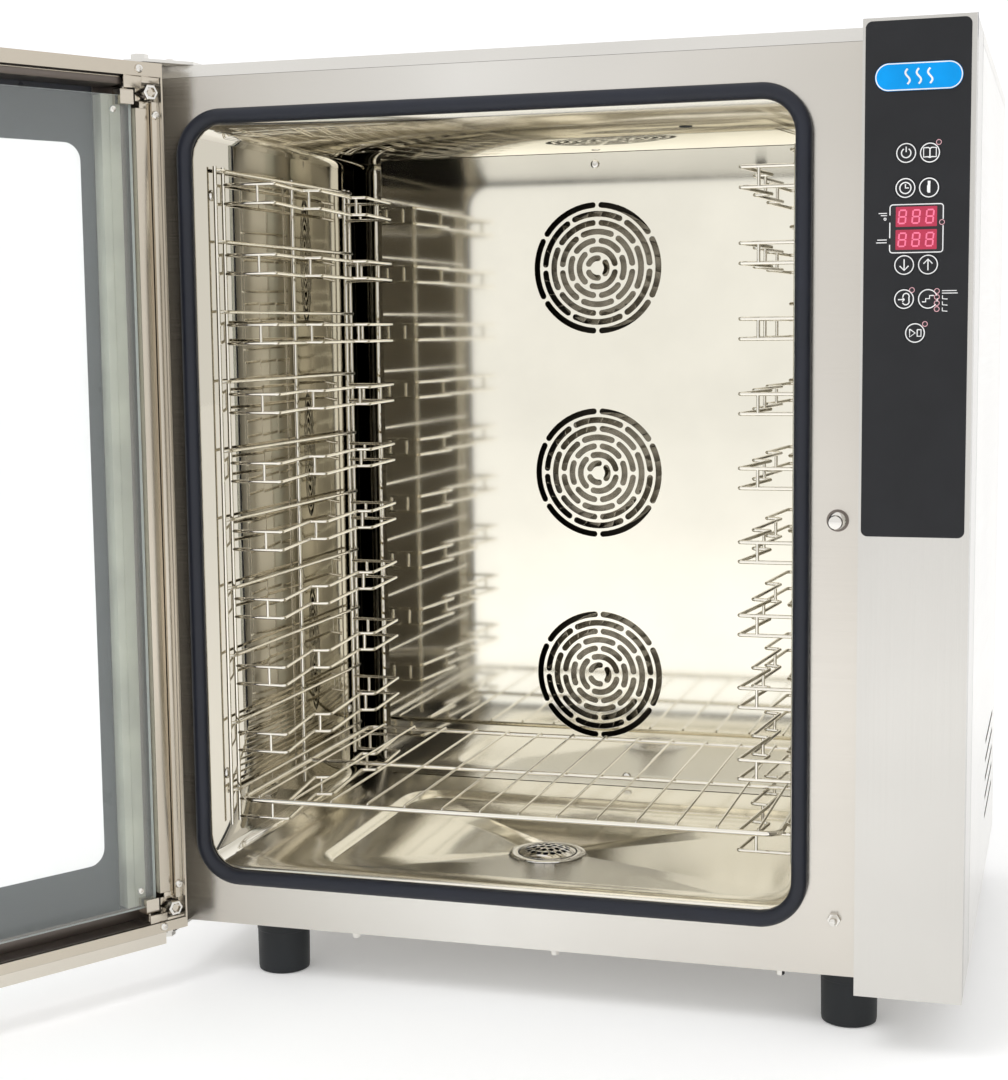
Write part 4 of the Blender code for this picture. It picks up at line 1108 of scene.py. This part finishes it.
def make_door_corners():
    """The corner plates, the hexagonal standoffs that hold the pane, and screws."""
    plates = [
        ((-0.4, -0.006, 0.9475), (-0.379, -0.0045, 0.9605)),
        ((-0.4215, -0.006, 0.9535), (-0.4, -0.0045, 0.9605)),
        ((-0.4215, -0.02, 0.936), (-0.4008, -0.0185, 0.9525)),
        ((-0.4, -0.006, 0.0755), (-0.379, -0.0045, 0.0845)),
        ((-0.4215, -0.006, 0.0755), (-0.4, -0.0045, 0.0785)),
        ((-0.4215, -0.02, 0.079), (-0.4008, -0.0185, 0.0975)),
    ]
    show_on_door(boxes("door_corner_plates", plates, 0.0004), door_steel_shaded)
    back, front = -0.0184, -0.0008
    collar = [(0, back), (0.0085, back), (0.0085, front - 0.0006), (0.0078, front)]
    collar += [(0.0056, front), (0.0052, front - 0.0045), (0, front - 0.0045)]
    stud = [(0, front - 0.0018), (0.0034, front - 0.0018), (0.0034, front - 0.0055), (0, front - 0.0055)]
    collars = bmesh.new()
    studs = bmesh.new()
    for z in (0.944, 0.088):
        add_turned(collars, (-0.409, 0, z), collar, "Y", 6)
        add_turned(studs, (-0.409, 0, z), stud, "Y", 16)
    show_on_door(mesh_piece("door_standoffs", collars, 25.0), bright)
    show_on_door(mesh_piece("door_standoff_studs", studs, 25.0), rail_steel)
    places = [(-0.396, -0.003, 0.967), (-0.394, -0.003, 0.0705)]
    places += [(-0.4165, -0.007, z) for z in (0.922, 0.112)]
    show_on_door(screws("door_screws", places, "Y", 0.0046, 1.0), bright)
    places = [(-0.372, -0.016, 0.926), (-0.375, -0.016, 0.111)]
    pane_screws = screws("pane_screws", places, "Y", 0.004, 1.0)
    show_on_door(pane_screws, bright, (), "inner_pane")


def make_handle():
    """The turning handle: a steel rose and spindle, and a soft-edged plastic grip."""
    x, z = 0.303, 0.563
    face = -0.0513
    rose = [
        (0, face), (0.0165, face), (0.017, face - 0.0006), (0.017, face - 0.0066),
        (0.016, face - 0.0078), (0.0112, face - 0.01), (0.0106, face - 0.012),
        (0.0104, face - 0.024), (0, face - 0.024),
    ]
    made = turned("handle_rose", (x, 0, z), rose, "Y")
    show_on_door(made, bright, ["door_handle"], "handle")
    inner, outer = face + 0.032, face - 0.0001
    spindle = [(0, inner), (0.0046, inner), (0.0046, outer), (0, outer)]
    made = turned("handle_spindle", (x, 0, z), spindle, "Y", 4, 20.0)
    show_on_door(made, bright, (), "handle")
    centre = face - 0.0397
    top, bottom = z + 0.016, z - 0.17
    grip = [
        (0, bottom), (0.006, bottom + 0.0006), (0.0088, bottom + 0.0028),
        (0.0101, bottom + 0.008), (0.0103, bottom + 0.06), (0.0099, z - 0.034),
        (0.0095, z - 0.026), (0.0103, z - 0.018), (0.0103, top - 0.008),
        (0.0092, top - 0.003), (0.0062, top - 0.0006), (0, top),
    ]
    made = turned("handle_grip", (x, centre, 0), grip)
    show_on_door(made, plastic, (), "handle")


# ------------ stage
def make_stage():
    """A floor that sweeps up into a wall far behind the oven."""
    half, depth, lift, sweep = 9.0, 7.0, 6.0, 1.5
    profile = [(-half, 0.0), *arc(depth - sweep, sweep, sweep, -90, 0, 12), (depth, lift)]
    bm = bmesh.new()
    rows = [[bm.verts.new((x, y, z)) for x in (-half, half)] for y, z in profile]
    for first, second in zip(rows, rows[1:]):
        bm.faces.new((first[0], first[1], second[1], second[0]))
    stage = mesh_piece("studio_floor", bm, 80.0)
    made, tree, shader = new_material("studio_paper", (0.93, 0.93, 0.93), 0.85)
    fill(shader, {"Emission Color": (1.0, 1.0, 1.0, 1.0), "Emission Strength": 0.14})
    paper = noise_in(tree, 3.0, 2.0)
    tint(tree, shader, paper, (0.925, 0.925, 0.925), (0.935, 0.935, 0.935))
    stage.data.materials.append(made)


def make_lights():
    """An even white surround, with one soft key light high on the left."""
    world = bpy.data.worlds.new("studio")
    bpy.context.scene.world = world
    world.use_nodes = True
    background = world.node_tree.nodes["Background"]
    fill(background, {"Color": (1.0, 1.0, 1.0, 1.0), "Strength": 1.0})
    data = bpy.data.lights.new("key", "AREA")
    data.energy = 36.0
    data.shape = "RECTANGLE"
    data.size = data.size_y = 1.6
    key = link(bpy.data.objects.new("key", data))
    key.location = ORIGIN + Vector((-0.9, -1.6, 3.2))
    aim = ORIGIN + Vector((0, 0.1, 0.3)) - key.location
    key.rotation_euler = aim.to_track_quat("-Z", "Y").to_euler()
    key.visible_glossy = False
    bpy.context.scene.view_settings.view_transform = "Standard"


def make_camera():
    data = bpy.data.cameras.new("camera")
    data.lens = 62.9
    data.sensor_width = 36.0
    data.sensor_fit = "AUTO"
    camera = link(bpy.data.objects.new("camera", data))
    right = Vector((0.95727, 0.28901, -0.0109))
    up = Vector((-0.02159, 0.109, 0.99381))
    back = right.cross(up)
    turn = Matrix((right, up, back)).transposed().to_4x4()
    camera.matrix_world = Matrix.Translation(ORIGIN + Vector((0.517, -1.825, 0.699))) @ turn
    bpy.context.scene.camera = camera


finish_frame_nodes()
make_camera()
make_lights()
make_stage()
make_gasket()
make_liner()
make_ceiling_fittings()
make_baffle()
make_fan_wheels()
make_strainer()
make_fan_chamber()
make_rack("rack_wires_left", -1)
make_rack("rack_wires_right", 1)
make_shelf()
make_overlay()
make_keys()
make_display()
make_badge()
make_feet()
make_striker()
make_body_screws()
make_column_seam()
make_hinge_screws()
make_glass_print()
make_door_folds()
make_door_corners()
make_handle()
